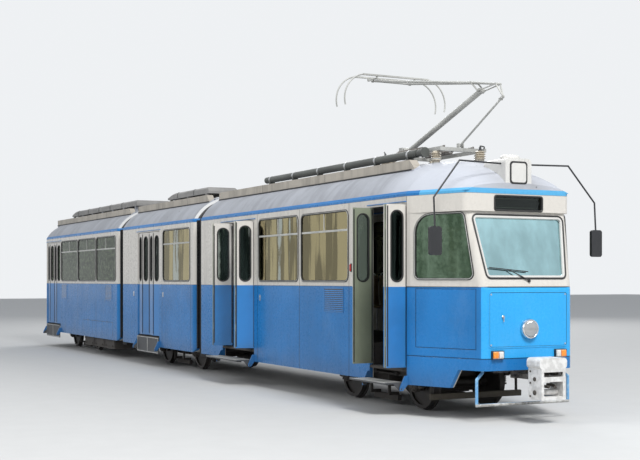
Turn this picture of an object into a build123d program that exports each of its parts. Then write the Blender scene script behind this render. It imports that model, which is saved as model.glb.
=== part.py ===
"""Three-section articulated tram on three bogies, at full size in millimetres.

X points forward, Y to the left and Z up. The origin lies on the track centreline,
midway between the coupler faces, at the height of the wheel flanges' lowest points.
"""
import math
import os

from build123d import *

os.makedirs("parts", exist_ok=True)

# Overall body
HALF_WIDTH = 1100.0
WALL = 60.0
SKIRT_Z = 405.0
BELT_Z = 1630.0
CANT_Z = 2860.0
CROWN_Z = 3375.0
ROOF_SKIN = 45.0
FLOOR_Z = 895.0
FLOOR_SKIN = 60.0
SEAT_GAP = 0.3

# Places along the tram
JOINT_1_X = 1405.0
JOINT_2_X = -3270.0
CAB_X = 8850.0
NOSE_X = 9960.0
NOSE_HALF = 670.0
BROW_X = NOSE_X - 240.0
BROW_HALF = 760.0
HEADER_Z = 2605.0
HEADER_X = BROW_X + 32.0
HEADER_HALF = BROW_HALF + 30.0
TAIL_X = -9750.0
REAR_X = -10290.0
REAR_HALF = 890.0
REAR_BROW_X = REAR_X + 110.0
REAR_BROW_HALF = 915.0
COUPLER_X = 10450.0
NOSE_CORNER = 110.0
BUMPER_Z = 635.0

# Section ends at a joint: half the space between them, the rounding of their edges in
# plan, the depth of the portal's frame and the rounding of the skirt's lower corner
JOINT_HALF = 137.0
JOINT_ROUND = 100.0
PORTAL = 145.0
SKIRT_ROUND = 120.0

# Running gear
TREAD_R = 330.0
FLANGE_R = 355.0
AXLE_Z = FLANGE_R
AXLE_SPREAD = 950.0
BOGIE_X = {"front": 7400.0, "middle": -720.0, "rear": -7750.0}
WHEEL_BACK_Y = 467.0
WHEEL_FACE_Y = 567.0
FLANGE_Y = 495.0
JOURNAL_R = 50.0
JOURNAL_GAP = 0.6

# Windows and doors
WINDOW_LOW = 1725.0
WINDOW_TOP = 2735.0
WINDOW_R = 90.0
VENT_Z = 2455.0
BAR = 40.0
BAR_SKIN = 20.0
GLASS = 6.0
DOOR_TOP = 2730.0
LEAF_LOW = 625.0
LEAF_TOP = 2722.0
LEAF_SKIN = 34.0
POST_R = 12.0
POST_X = 20.0
HINGE_Y = 20.0 - HALF_WIDTH
PIN_R = 8.0
PIN_GAP = 0.5
PAIR_DEPTH = 8.0
KNUCKLE_R = 5.0
LEAF_GAP = 4.0
DOOR_CLOSED = 6.0
DOOR_OPEN = 88.0
LEAF_WINDOW_LOW = 1725.0
LEAF_WINDOW_TOP = 2645.0

# Stairwell and folding step behind and below each door
TREAD_Z = 600.0
TREAD_SKIN = 35.0
WELL_Y = 270.0 - HALF_WIDTH
WELL_EDGE_Y = 6.0 - HALF_WIDTH
STEP_AXIS_Y = -HALF_WIDTH - 85.0
STEP_AXIS_Z = 350.0
STEP_IN = 80.0
STEP_OUT = 240.0
STEP_TOP = 85.0
STEP_SKIN = 20.0
STEP_END = 22.0
TRUNNION_R = 12.0
BRACKET = 20.0
BRACKET_TOP = 520.0
LUG_R = 22.0

# Each section's stretch of full width, rear end and front end, and its ends at a joint
SECTIONS = {
    "front": (JOINT_1_X + JOINT_HALF, CAB_X),
    "middle": (JOINT_2_X + JOINT_HALF, JOINT_1_X - JOINT_HALF),
    "rear": (TAIL_X, JOINT_2_X - JOINT_HALF),
}
JOINT_ENDS = {"front": (-1,), "middle": (-1, 1), "rear": (1,)}

# Each section's side windows: rear edge and front edge
RIGHT_WINDOWS = {
    "front": ((4190.0, 5680.0), (5770.0, 7280.0)),
    "middle": ((-470.0, 1040.0),),
    "rear": ((-8240.0, -6690.0), (-6650.0, -5140.0), (-5090.0, -3580.0)),
}
LEFT_WINDOWS = {
    "front": ((2030.0, 2600.0), (2690.0, 4100.0), (4190.0, 5680.0), (5770.0, 7280.0), (7370.0, 8500.0)),
    "middle": ((-2560.0, -2000.0), (-1910.0, -560.0), (-470.0, 1040.0)),
    "rear": ((-9600.0, -8330.0), (-8240.0, -6690.0), (-6650.0, -5140.0), (-5090.0, -3580.0)),
}

# Doors on the right side: section, rear jamb, front jamb, leaves in the rear set and
# in the front set, and how far the leaves stand open
DOORS = {
    "door_1": ("front", 7890.0, 8850.0, 1, 2, 88.0),
    "door_2": ("front", 2650.0, 4010.0, 2, 2, 65.0),
    "door_3": ("middle", -2030.0, -670.0, 2, 2, 6.0),
    "door_4": ("rear", -9670.0, -8310.0, 2, 2, 6.0),
}


def block(x0, x1, y0, y1, z0, z1, mode=Mode.ADD):
    """A box between two planes on each axis."""
    with Locations(((x0 + x1) / 2, (y0 + y1) / 2, (z0 + z1) / 2)):
        Box(x1 - x0, y1 - y0, z1 - z0, mode=mode)


def rod(start, end, radius, mode=Mode.ADD):
    """A round bar between two points."""
    axis = Vector(*end) - Vector(*start)
    with BuildSketch(Plane(origin=start, z_dir=axis)) as section:
        Circle(radius)
    extrude(section.sketch, amount=axis.length, mode=mode)


def finish(piece, name):
    """Labels a finished piece and writes it to its own file."""
    piece.part.label = name
    export_step(piece.part, f"parts/{name}.step")


def side_plane(side):
    """The vertical plane from which a side wall is extruded towards +Y."""
    return Plane.XZ.offset(HALF_WIDTH if side == "right" else WALL - HALF_WIDTH)


def straight(section):
    """A section's stretch of flat walls, between the rounded edges of its ends."""
    x_back, x_front = SECTIONS[section]
    ends = JOINT_ENDS[section]
    return x_back + JOINT_ROUND * (-1 in ends), x_front - JOINT_ROUND * (1 in ends)


def portal_post(x_end, way, side):
    """The plan of a section's corner at a joint, rounded outside and square inside."""
    x_flat = x_end - way * JOINT_ROUND
    outer = side * HALF_WIDTH
    centre = side * (HALF_WIDTH - JOINT_ROUND)
    inner = side * (HALF_WIDTH - PORTAL)
    bend = JOINT_ROUND * math.sqrt(0.5)
    with BuildSketch(Plane.XY.offset(SKIRT_Z)) as plan:
        with BuildLine():
            ThreePointArc((x_flat, outer), (x_flat + way * bend, centre + side * bend), (x_end, centre))
            Polyline((x_end, centre), (x_end, inner), (x_flat, inner), (x_flat, outer))
        make_face()
    return plan.sketch


def step_bracket(wall_y):
    """The outline of a bracket that reaches below the skirt to a step's trunnion."""
    with BuildSketch() as outline:
        with BuildLine():
            Polyline((wall_y, BRACKET_TOP), (-HALF_WIDTH - 35, BRACKET_TOP),
                     (STEP_AXIS_Y - LUG_R, STEP_AXIS_Z + LUG_R), (STEP_AXIS_Y - LUG_R, STEP_AXIS_Z - LUG_R),
                     (STEP_AXIS_Y + LUG_R, STEP_AXIS_Z - LUG_R), (wall_y, SKIRT_Z), close=True)
        make_face()
        with Locations((STEP_AXIS_Y, STEP_AXIS_Z)):
            Circle(TRUNNION_R + PIN_GAP, mode=Mode.SUBTRACT)
    return outline.sketch


# Side walls with their window and door openings
for section, ends in SECTIONS.items():
    x_back, x_front = straight(section)
    doors = [row for row in DOORS.values() if row[0] == section]
    with BuildPart() as walls:
        for side, windows in (("right", RIGHT_WINDOWS[section]), ("left", LEFT_WINDOWS[section])):
            with BuildSketch(side_plane(side)):
                with Locations(((x_back + x_front) / 2, (SKIRT_Z + CANT_Z) / 2)):
                    Rectangle(x_front - x_back, CANT_Z - SKIRT_Z)
                for w_back, w_front in windows:
                    with Locations(((w_back + w_front) / 2, (WINDOW_LOW + WINDOW_TOP) / 2)):
                        RectangleRounded(w_front - w_back, WINDOW_TOP - WINDOW_LOW, WINDOW_R, mode=Mode.SUBTRACT)
                if side == "right":
                    for _, jamb_back, jamb_front, _, _, _ in doors:
                        with Locations(((jamb_back + jamb_front) / 2, DOOR_TOP / 2)):
                            Rectangle(jamb_front - jamb_back, DOOR_TOP, mode=Mode.SUBTRACT)
            extrude(amount=-WALL)
            bar_y = (HALF_WIDTH - WALL / 2) * (-1 if side == "right" else 1)
            for w_back, w_front in windows:
                middle = (w_back + w_front) / 2
                block(w_back, w_front, bar_y - BAR_SKIN / 2, bar_y + BAR_SKIN / 2, VENT_Z - BAR / 2, VENT_Z + BAR / 2)
                block(middle - BAR / 2, middle + BAR / 2, bar_y - BAR_SKIN / 2, bar_y + BAR_SKIN / 2, VENT_Z, WINDOW_TOP)
        for _, jamb_back, jamb_front, _, _, _ in doors:
            for jamb, away in ((jamb_back, -1), (jamb_front, 1)):
                if jamb_front == CAB_X and away > 0:
                    continue
                bracket_plane = Plane.YZ.offset(jamb + (-BRACKET if away < 0 else 0))
                extrude(bracket_plane * step_bracket(-HALF_WIDTH), amount=BRACKET)
            for jamb, inward in ((jamb_back, 1), (jamb_front, -1)):
                with Locations((jamb + inward * POST_X, HINGE_Y, DOOR_TOP + 10)):
                    Cylinder(PIN_R + PIN_GAP, 24, mode=Mode.SUBTRACT)
        for way in JOINT_ENDS[section]:
            x_end = ends[0] if way < 0 else ends[1]
            for side in (-1, 1):
                extrude(portal_post(x_end, way, side), amount=CANT_Z - SKIRT_Z)
            with BuildSketch(Plane.XZ.offset(-HALF_WIDTH - 10)):
                with Locations((x_end, SKIRT_Z)):
                    Rectangle(2 * SKIRT_ROUND, 2 * SKIRT_ROUND)
                with Locations((x_end - way * SKIRT_ROUND, SKIRT_Z + SKIRT_ROUND)):
                    Circle(SKIRT_ROUND, mode=Mode.SUBTRACT)
            extrude(amount=2 * HALF_WIDTH + 20, mode=Mode.SUBTRACT)
    finish(walls, f"{section}_side_walls")


def end_plan(z, x_root, x_tip, tip_half, inset):
    """The plan of an end: straight tapering sides, a flat face and rounded corners."""
    way = 1 if x_tip > x_root else -1
    slope = (HALF_WIDTH - tip_half) / abs(x_tip - x_root)
    side = inset * math.hypot(1, slope)
    root_y = HALF_WIDTH - side
    face_x = x_tip - way * inset
    face_y = tip_half + slope * inset - side
    with BuildSketch(Plane.XY.offset(z)) as plan:
        with BuildLine():
            Polyline((x_root, root_y), (face_x, face_y), (face_x, -face_y), (x_root, -root_y), close=True)
        make_face()
        corners = plan.vertices().sort_by(Axis.X, reverse=way < 0)[-2:]
        fillet(corners, NOSE_CORNER - inset / 2)
    return plan.sketch


def end_upper(row, inset, mode):
    """The leaning walls above an end's belt, and its upright header if it has one."""
    belt = end_plan(BELT_Z, row["root"], row["tip"], row["tip_half"], inset)
    brow = end_plan(row["brow_z"], row["root"], row["brow"], row["brow_half"], inset)
    loft([belt.face(), brow.face()], ruled=True, mode=mode)
    if row["brow_z"] < CANT_Z:
        header = end_plan(row["brow_z"], row["root"], row["header"], row["header_half"], inset)
        extrude(header, amount=CANT_Z - row["brow_z"], mode=mode)


def end_shell(row):
    """The upright lower walls and the leaning upper walls of an end."""
    for inset, mode in ((0.0, Mode.ADD), (WALL, Mode.SUBTRACT)):
        lower = end_plan(SKIRT_Z, row["root"], row["tip"], row["tip_half"], inset)
        extrude(lower, amount=BELT_Z - SKIRT_Z, mode=mode)
        end_upper(row, inset, mode)


# Windows of the two ends, as prisms that cut the walls and shape the panes
SCREEN_LOW = 1765.0
SCREEN_TOP = 2565.0
SCREEN_LOW_HALF = 605.0
SCREEN_TOP_HALF = 705.0
SCREEN_R = 70.0
DISPLAY_HALF = 370.0
DISPLAY_LOW = 2615.0
DISPLAY_TOP = 2805.0
CAB_WINDOW = ((CAB_X + 120, 1755.0), (NOSE_X - 130, 1755.0), (NOSE_X - 275, 2590.0), (CAB_X + 120, 2590.0))
CAB_WINDOW_R = 75.0
PRISM = 520.0
REAR_SCREEN_HALF = 700.0


def screen_prism(x_face, way, low_half, top_half, shrink):
    """A windscreen's outline, wider at its top or bottom, carried back into the body."""
    with BuildSketch(Plane.YZ.offset(x_face)) as outline:
        with BuildLine():
            Polyline((-low_half, SCREEN_LOW), (low_half, SCREEN_LOW), (top_half, SCREEN_TOP),
                     (-top_half, SCREEN_TOP), close=True)
        make_face()
        fillet(outline.vertices(), SCREEN_R)
        if shrink > 0:
            offset(amount=-shrink, mode=Mode.REPLACE)
    extrude(outline.sketch, amount=-way * PRISM)


def cab_prisms(shrink):
    """The windscreen, the destination display and the two side windows of the cab."""
    with BuildPart() as prisms:
        screen_prism(NOSE_X + 40, 1, SCREEN_LOW_HALF, SCREEN_TOP_HALF, shrink)
        with BuildSketch(Plane.YZ.offset(NOSE_X)):
            with Locations((0, (DISPLAY_LOW + DISPLAY_TOP) / 2)):
                RectangleRounded(2 * (DISPLAY_HALF - shrink), DISPLAY_TOP - DISPLAY_LOW - 2 * shrink, 30)
        extrude(amount=-PRISM)
        for side_y in (HALF_WIDTH + 10, -SCREEN_LOW_HALF - 35):
            with BuildSketch(Plane.XZ.offset(side_y)) as outline:
                with BuildLine():
                    Polyline(*CAB_WINDOW, close=True)
                make_face()
                fillet(outline.vertices(), CAB_WINDOW_R)
                if shrink > 0:
                    offset(amount=-shrink, mode=Mode.REPLACE)
            extrude(amount=SCREEN_LOW_HALF + 35 - HALF_WIDTH - 10)
    return prisms.part


def rear_prisms(shrink):
    """The rear window."""
    with BuildPart() as prisms:
        screen_prism(REAR_X - 40, -1, REAR_SCREEN_HALF, REAR_SCREEN_HALF, shrink)
    return prisms.part


ENDS = {
    "cab_front": {
        "root": CAB_X, "tip": NOSE_X, "tip_half": NOSE_HALF, "brow": BROW_X, "brow_half": BROW_HALF,
        "brow_z": HEADER_Z, "header": HEADER_X, "header_half": HEADER_HALF, "prisms": cab_prisms,
        "bumper": (NOSE_X - 480, NOSE_X - 360),
    },
    "rear_end": {
        "root": TAIL_X, "tip": REAR_X, "tip_half": REAR_HALF, "brow": REAR_BROW_X, "brow_half": REAR_BROW_HALF,
        "brow_z": CANT_Z, "header": REAR_BROW_X, "header_half": REAR_BROW_HALF, "prisms": rear_prisms,
        "bumper": (REAR_X + 240, REAR_X + 140),
    },
}

# The bumper is cut higher than the skirts, with a slanted change between them
for name, row in ENDS.items():
    openings = row["prisms"](0.0)
    skirt_end, bumper_end = row["bumper"]
    beyond = row["tip"] + math.copysign(50, row["tip"])
    with BuildPart() as end:
        end_shell(row)
        add(openings, mode=Mode.SUBTRACT)
        with BuildSketch(Plane.XZ.offset(-HALF_WIDTH - 10)):
            with BuildLine():
                Polyline((skirt_end, SKIRT_Z - 5), (bumper_end, BUMPER_Z), (beyond, BUMPER_Z),
                         (beyond, SKIRT_Z - 5), close=True)
            make_face()
        extrude(amount=2 * HALF_WIDTH + 20, mode=Mode.SUBTRACT)
        if name == "cab_front":
            extrude(Plane.YZ.offset(CAB_X) * step_bracket(-HALF_WIDTH + 8), amount=BRACKET)
    finish(end, name)

# Glass: flat panes in the side walls, and slices of each end's leaning walls
BAR_GAP = 2.0
PANE_Y = HALF_WIDTH - (WALL + BAR_SKIN + GLASS) / 2 - BAR_GAP
PANE_INSET = 28.0
END_OF = {"front": "cab_front", "rear": "rear_end"}
for section in SECTIONS:
    if section in END_OF:
        row = ENDS[END_OF[section]]
        panes_outline = row["prisms"](SEAT_GAP)
        with BuildPart() as end_glass:
            end_upper(row, PANE_INSET, Mode.ADD)
            end_upper(row, PANE_INSET + GLASS, Mode.SUBTRACT)
            add(panes_outline, mode=Mode.INTERSECT)
    with BuildPart() as glazing:
        for way, windows in ((-1, RIGHT_WINDOWS[section]), (1, LEFT_WINDOWS[section])):
            for w_back, w_front in windows:
                with BuildSketch(Plane.XZ.offset(-way * PANE_Y - GLASS / 2)):
                    with Locations(((w_back + w_front) / 2, (WINDOW_LOW + WINDOW_TOP) / 2)):
                        RectangleRounded(w_front - w_back - 2 * SEAT_GAP, WINDOW_TOP - WINDOW_LOW - 2 * SEAT_GAP,
                                         WINDOW_R - SEAT_GAP)
                extrude(amount=GLASS)
        if section in END_OF:
            add(end_glass.part)
    finish(glazing, f"{section}_glazing")

# Roofs: an arch with full shoulders, drawn in at both ends of the tram
SHOULDER_IN = 400.0
SHOULDER_DROP = 140.0
SHOULDER_Y = HALF_WIDTH - SHOULDER_IN
SHOULDER_Z = CROWN_Z - SHOULDER_DROP
BELLY_OUT = (34.0, 36.5)
BELLY_Y = (HALF_WIDTH + SHOULDER_Y) / 2 + BELLY_OUT[0]
BELLY_Z = (CANT_Z + SHOULDER_Z) / 2 + BELLY_OUT[1]
DOME_X = 8000.0
DOME_TIP_X = HEADER_X + 40.0
REAR_DOME_X = -9300.0
REAR_DOME_TIP_X = REAR_BROW_X - 150.0
DOME_STEPS = (8400.0, CAB_X, 9150.0, 9400.0, 9600.0, HEADER_X)
REAR_DOME_STEPS = (-9500.0, TAIL_X, -9950.0, -10090.0, REAR_BROW_X)
FAIRING_Y = (SHOULDER_Y - 60.0, SHOULDER_Y + 60.0)
FAIRING_Z = (SHOULDER_Z - 75.0, CROWN_Z - 23.0)
FAIRING_NOSE = 110.0
FAIRINGS = {
    "front": (JOINT_1_X + 255.0, 8473.0),
    "middle": (JOINT_2_X + 240.0, JOINT_1_X - 255.0),
    "rear": (-9900.0, JOINT_2_X - 290.0),
}

# Low hoods on feet over the roof: rear end, front end, half width, underside and top
HOODS = {
    "middle": (-2380.0, 0.0, 310.0, CROWN_Z + 95.0, CROWN_Z + 220.0),
    "rear": (-9750.0, -4200.0, 400.0, CROWN_Z + 80.0, CROWN_Z + 210.0),
}
HOOD_SLOPE = 420.0
HOOD_EDGE = 30.0
HOOD_SKIN = 25.0
FOOT_PITCH = 900.0
FOOT_HALF = 30.0


def roof_arch(x, half, crown, inset):
    """The roof's outline across the tram, scaled from the full one, less an inset."""
    wide = (half - inset) / HALF_WIDTH
    tall = (crown - inset - CANT_Z) / (CROWN_Z - CANT_Z)
    base = (HALF_WIDTH * wide, CANT_Z)
    belly = (BELLY_Y * wide, CANT_Z + (BELLY_Z - CANT_Z) * tall)
    shoulder = (SHOULDER_Y * wide, CANT_Z + (SHOULDER_Z - CANT_Z) * tall)
    with BuildSketch(Plane.YZ.offset(x)) as arch:
        with BuildLine():
            ThreePointArc(base, belly, shoulder)
            ThreePointArc(shoulder, (0, crown - inset), (-shoulder[0], shoulder[1]))
            ThreePointArc((-shoulder[0], shoulder[1]), (-belly[0], belly[1]), (-base[0], base[1]))
            Line((-base[0], base[1]), base)
        make_face()
    return arch.sketch


def dome_size(x, x_start, x_tip, x_taper, x_brow, brow_half):
    """Half width and crown height at one place: straight sides and an elliptic crown."""
    taper = max(0.0, (x - x_taper) / (x_brow - x_taper))
    half = HALF_WIDTH + (brow_half - HALF_WIDTH) * taper
    along = (x - x_start) / (x_tip - x_start)
    return half, CANT_Z + (CROWN_Z - CANT_Z) * math.sqrt(1 - along * along)


DOMES = {
    "front": (DOME_X, DOME_TIP_X, CAB_X, HEADER_X, HEADER_HALF, DOME_STEPS),
    "rear": (REAR_DOME_X, REAR_DOME_TIP_X, TAIL_X, REAR_BROW_X, REAR_BROW_HALF, REAR_DOME_STEPS),
}


def roof_body(section, stretch, inset):
    """A solid roof up to its surface, or up to its lining where there is an inset."""
    x_back, x_front = stretch
    if section in DOMES:
        x_start, x_tip, x_taper, x_brow, brow_half, steps = DOMES[section]
        way = 1 if x_tip > x_start else -1
        x_end = x_back if way > 0 else x_front
        extrude(roof_arch(x_end, HALF_WIDTH, CROWN_Z, inset), amount=x_start - x_end)
        places = [x_start, *steps[:-1], steps[-1] - way * inset]
        sizes = [dome_size(x, x_start, x_tip, x_taper, x_brow, brow_half) for x in places]
        loft([roof_arch(x, *size, inset).face() for x, size in zip(places, sizes)], ruled=True)
    else:
        extrude(roof_arch(x_back, HALF_WIDTH, CROWN_Z, inset), amount=x_front - x_back)


def hood(section):
    """A low hood with a sloping rear end and chamfered edges, on feet along both sides."""
    x_back, x_front, half, low, top = HOODS[section]
    with BuildPart() as cover:
        with BuildSketch(Plane.XZ.offset(-half)) as profile:
            with BuildLine():
                Polyline((x_back, low), (x_back, low + 35), (x_back + HOOD_SLOPE, top), (x_front - 60, top),
                         (x_front, low + 50), (x_front, low), close=True)
            make_face()
        extrude(profile.sketch, amount=2 * half)
        chamfer(cover.edges().filter_by(Axis.X).group_by(Axis.Z)[-1], HOOD_EDGE)
        block(x_back + HOOD_SLOPE, x_front - 85, HOOD_SKIN + HOOD_EDGE - half, half - HOOD_SKIN - HOOD_EDGE,
              low, top - HOOD_SKIN, mode=Mode.SUBTRACT)
        count = round((x_front - x_back - 300) / FOOT_PITCH) + 1
        for place in range(count):
            x = x_back + 150 + place * (x_front - x_back - 300) / (count - 1)
            for way in (-1, 1):
                y = way * (half - FOOT_HALF)
                block(x - FOOT_HALF, x + FOOT_HALF, y - FOOT_HALF, y + FOOT_HALF, CANT_Z + 200, low)
        add(roof_solid[section].moved(Location((0, 0, SEAT_GAP))), mode=Mode.SUBTRACT)
    return cover.part


roof_solid = {}
for section, ends in SECTIONS.items():
    with BuildPart() as lining:
        roof_body(section, straight(section), ROOF_SKIN)
        for way in JOINT_ENDS[section]:
            x_end = ends[0] if way < 0 else ends[1]
            passage = roof_arch(x_end + way, HALF_WIDTH, CROWN_Z, PORTAL)
            extrude(passage, amount=-way * (JOINT_ROUND + 2))
    with BuildPart() as surface:
        roof_body(section, ends, 0.0)
        for way in JOINT_ENDS[section]:
            end_face = surface.faces().sort_by(Axis.X)[0 if way < 0 else -1]
            fillet(end_face.edges().filter_by(GeomType.CIRCLE), JOINT_ROUND)
    roof_solid[section] = surface.part
    with BuildPart() as roof:
        add(surface.part)
        x_back, x_front = FAIRINGS[section]
        with BuildSketch(Plane.XZ.offset(-FAIRING_Y[1])) as fairing:
            with BuildLine():
                Polyline((x_back, FAIRING_Z[0]), (x_back, FAIRING_Z[1]), (x_front - FAIRING_NOSE, FAIRING_Z[1]),
                         (x_front, FAIRING_Z[1] - FAIRING_NOSE), (x_front, FAIRING_Z[0]), close=True)
            make_face()
        for y in (FAIRING_Y[1], -FAIRING_Y[0]):
            extrude(fairing.sketch.moved(Location((0, y - FAIRING_Y[1], 0))), amount=FAIRING_Y[1] - FAIRING_Y[0])
        add(lining.part, mode=Mode.SUBTRACT)
        if section in HOODS:
            add(hood(section))
    finish(roof, f"{section}_roof")

# Underframes: floor, stairwells, bolster, long beams and equipment boxes
BEAM_Y = (260.0, 340.0)
BEAM_Z = 745.0
BOLSTER_HALF_X = 150.0
BOLSTER_HALF_Y = 780.0
BOLSTER_Z = 700.0
FLOOR_UNDER = FLOOR_Z - FLOOR_SKIN
CHEEK = 15.0
PIVOT_R = 50.0
PIVOT_GAP = 0.6
TONGUE_R = 130.0
TONGUE_SEAT = 300.0
TONGUE_LOW = (BEAM_Z, 780.0)
TONGUE_HIGH = (786.0, FLOOR_UNDER)
TURNTABLE_R = 700.0
TURNTABLE_Z = (901.0, 909.0)

# Equipment boxes: rear end, front end, right side, left side, bottom and top
BOXES = {
    "front": ((4300.0, 5600.0, -560.0, 560.0, 430.0, BEAM_Z),),
    "middle": (),
    "rear": (
        (-6200.0, -4500.0, -540.0, 560.0, 430.0, BEAM_Z),
        (-6250.0, -3850.0, WALL + 5.0 - HALF_WIDTH, -560.0, 195.0, FLOOR_UNDER),
    ),
}


def tongue(x_root, x_pivot, z0, z1):
    """A flat tongue from below a section's floor to its articulation pivot."""
    x_seat = x_root + math.copysign(TONGUE_SEAT, x_root - x_pivot)
    block(*sorted((x_seat, x_pivot)), -TONGUE_R, TONGUE_R, z0, z1)
    block(*sorted((x_seat, x_root)), -TONGUE_R, TONGUE_R, z0, FLOOR_UNDER)
    with Locations((x_pivot, 0, (z0 + z1) / 2)):
        Cylinder(TONGUE_R, z1 - z0)


for section, (x_back, x_front) in SECTIONS.items():
    inner = HALF_WIDTH - WALL
    doors = [row for row in DOORS.values() if row[0] == section]
    pivot_x = BOGIE_X[section]
    with BuildPart() as underframe:
        block(*straight(section), -inner, inner, FLOOR_UNDER, FLOOR_Z)
        block(x_back, x_front, PORTAL - HALF_WIDTH, HALF_WIDTH - PORTAL, FLOOR_UNDER, FLOOR_Z)
        if section in END_OF:
            row = ENDS[END_OF[section]]
            extrude(end_plan(FLOOR_UNDER, row["root"], row["tip"], row["tip_half"], WALL), amount=FLOOR_SKIN)
        for way in (-1, 1):
            block(x_back, x_front, *sorted((way * BEAM_Y[0], way * BEAM_Y[1])), BEAM_Z, FLOOR_UNDER)
        block(pivot_x - BOLSTER_HALF_X, pivot_x + BOLSTER_HALF_X, -BOLSTER_HALF_Y, BOLSTER_HALF_Y, BOLSTER_Z, FLOOR_UNDER)
        for box_back, box_front, box_right, box_left, box_low, box_top in BOXES[section]:
            block(box_back, box_front, box_right, box_left, box_low, box_top - SEAT_GAP)
        for _, jamb_back, jamb_front, _, _, _ in doors:
            block(jamb_back - SEAT_GAP, jamb_front + SEAT_GAP, -inner, WELL_Y + SEAT_GAP, FLOOR_UNDER, FLOOR_Z,
                  mode=Mode.SUBTRACT)
            block(jamb_back, jamb_front, WELL_EDGE_Y, WELL_Y + CHEEK, TREAD_Z - TREAD_SKIN, TREAD_Z)
            block(jamb_back, jamb_front, WELL_Y, WELL_Y + CHEEK, TREAD_Z + SEAT_GAP, FLOOR_UNDER - SEAT_GAP)
            for x in (jamb_back, jamb_front - CHEEK):
                block(x, x + CHEEK, -inner, WELL_Y - SEAT_GAP, TREAD_Z + SEAT_GAP, FLOOR_Z)
            for jamb, inward in ((jamb_back, 1), (jamb_front, -1)):
                with Locations((jamb + inward * POST_X, HINGE_Y, TREAD_Z - 10)):
                    Cylinder(PIN_R + PIN_GAP, 24, mode=Mode.SUBTRACT)
        if section == "middle":
            for x_end, x_pivot in ((x_front, JOINT_1_X), (x_back, JOINT_2_X)):
                tongue(x_end, x_pivot, *TONGUE_LOW)
                with Locations((x_pivot, 0, (TONGUE_LOW[1] + TONGUE_HIGH[1]) / 2 - 5)):
                    Cylinder(PIVOT_R, TONGUE_HIGH[1] - TONGUE_LOW[1] - 10)
                with Locations((x_pivot, 0, sum(TURNTABLE_Z) / 2)):
                    Cylinder(TURNTABLE_R, TURNTABLE_Z[1] - TURNTABLE_Z[0])
                rim = math.copysign(250, x_pivot - x_end)
                block(*sorted((x_end, x_end - rim)), -400, 400, FLOOR_Z, TURNTABLE_Z[0])
        else:
            x_end, x_pivot = (x_back, JOINT_1_X) if section == "front" else (x_front, JOINT_2_X)
            tongue(x_end, x_pivot, *TONGUE_HIGH)
            with Locations((x_pivot, 0, sum(TONGUE_HIGH) / 2)):
                Cylinder(PIVOT_R + PIVOT_GAP, TONGUE_HIGH[1] - TONGUE_HIGH[0] + 2, mode=Mode.SUBTRACT)
    finish(underframe, f"{section}_underframe")

# Rubber gaiters at the articulations, standing between the portal frames
GAITER_INSET = JOINT_ROUND + 8.0
GAITER_SKIN = 30.0
for name, pivot_x in (("front_gaiter", JOINT_1_X), ("rear_gaiter", JOINT_2_X)):
    with BuildPart() as gaiter:
        x = pivot_x - JOINT_HALF + SEAT_GAP
        length = 2 * (JOINT_HALF - SEAT_GAP)
        for inset, mode in ((GAITER_INSET, Mode.ADD), (GAITER_INSET + GAITER_SKIN, Mode.SUBTRACT)):
            extrude(roof_arch(x, HALF_WIDTH, CROWN_Z, inset), amount=length, mode=mode)
            half = HALF_WIDTH - inset
            block(x, x + length, -half, half, SKIRT_Z, CANT_Z, mode=mode)
    finish(gaiter, name)

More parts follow.
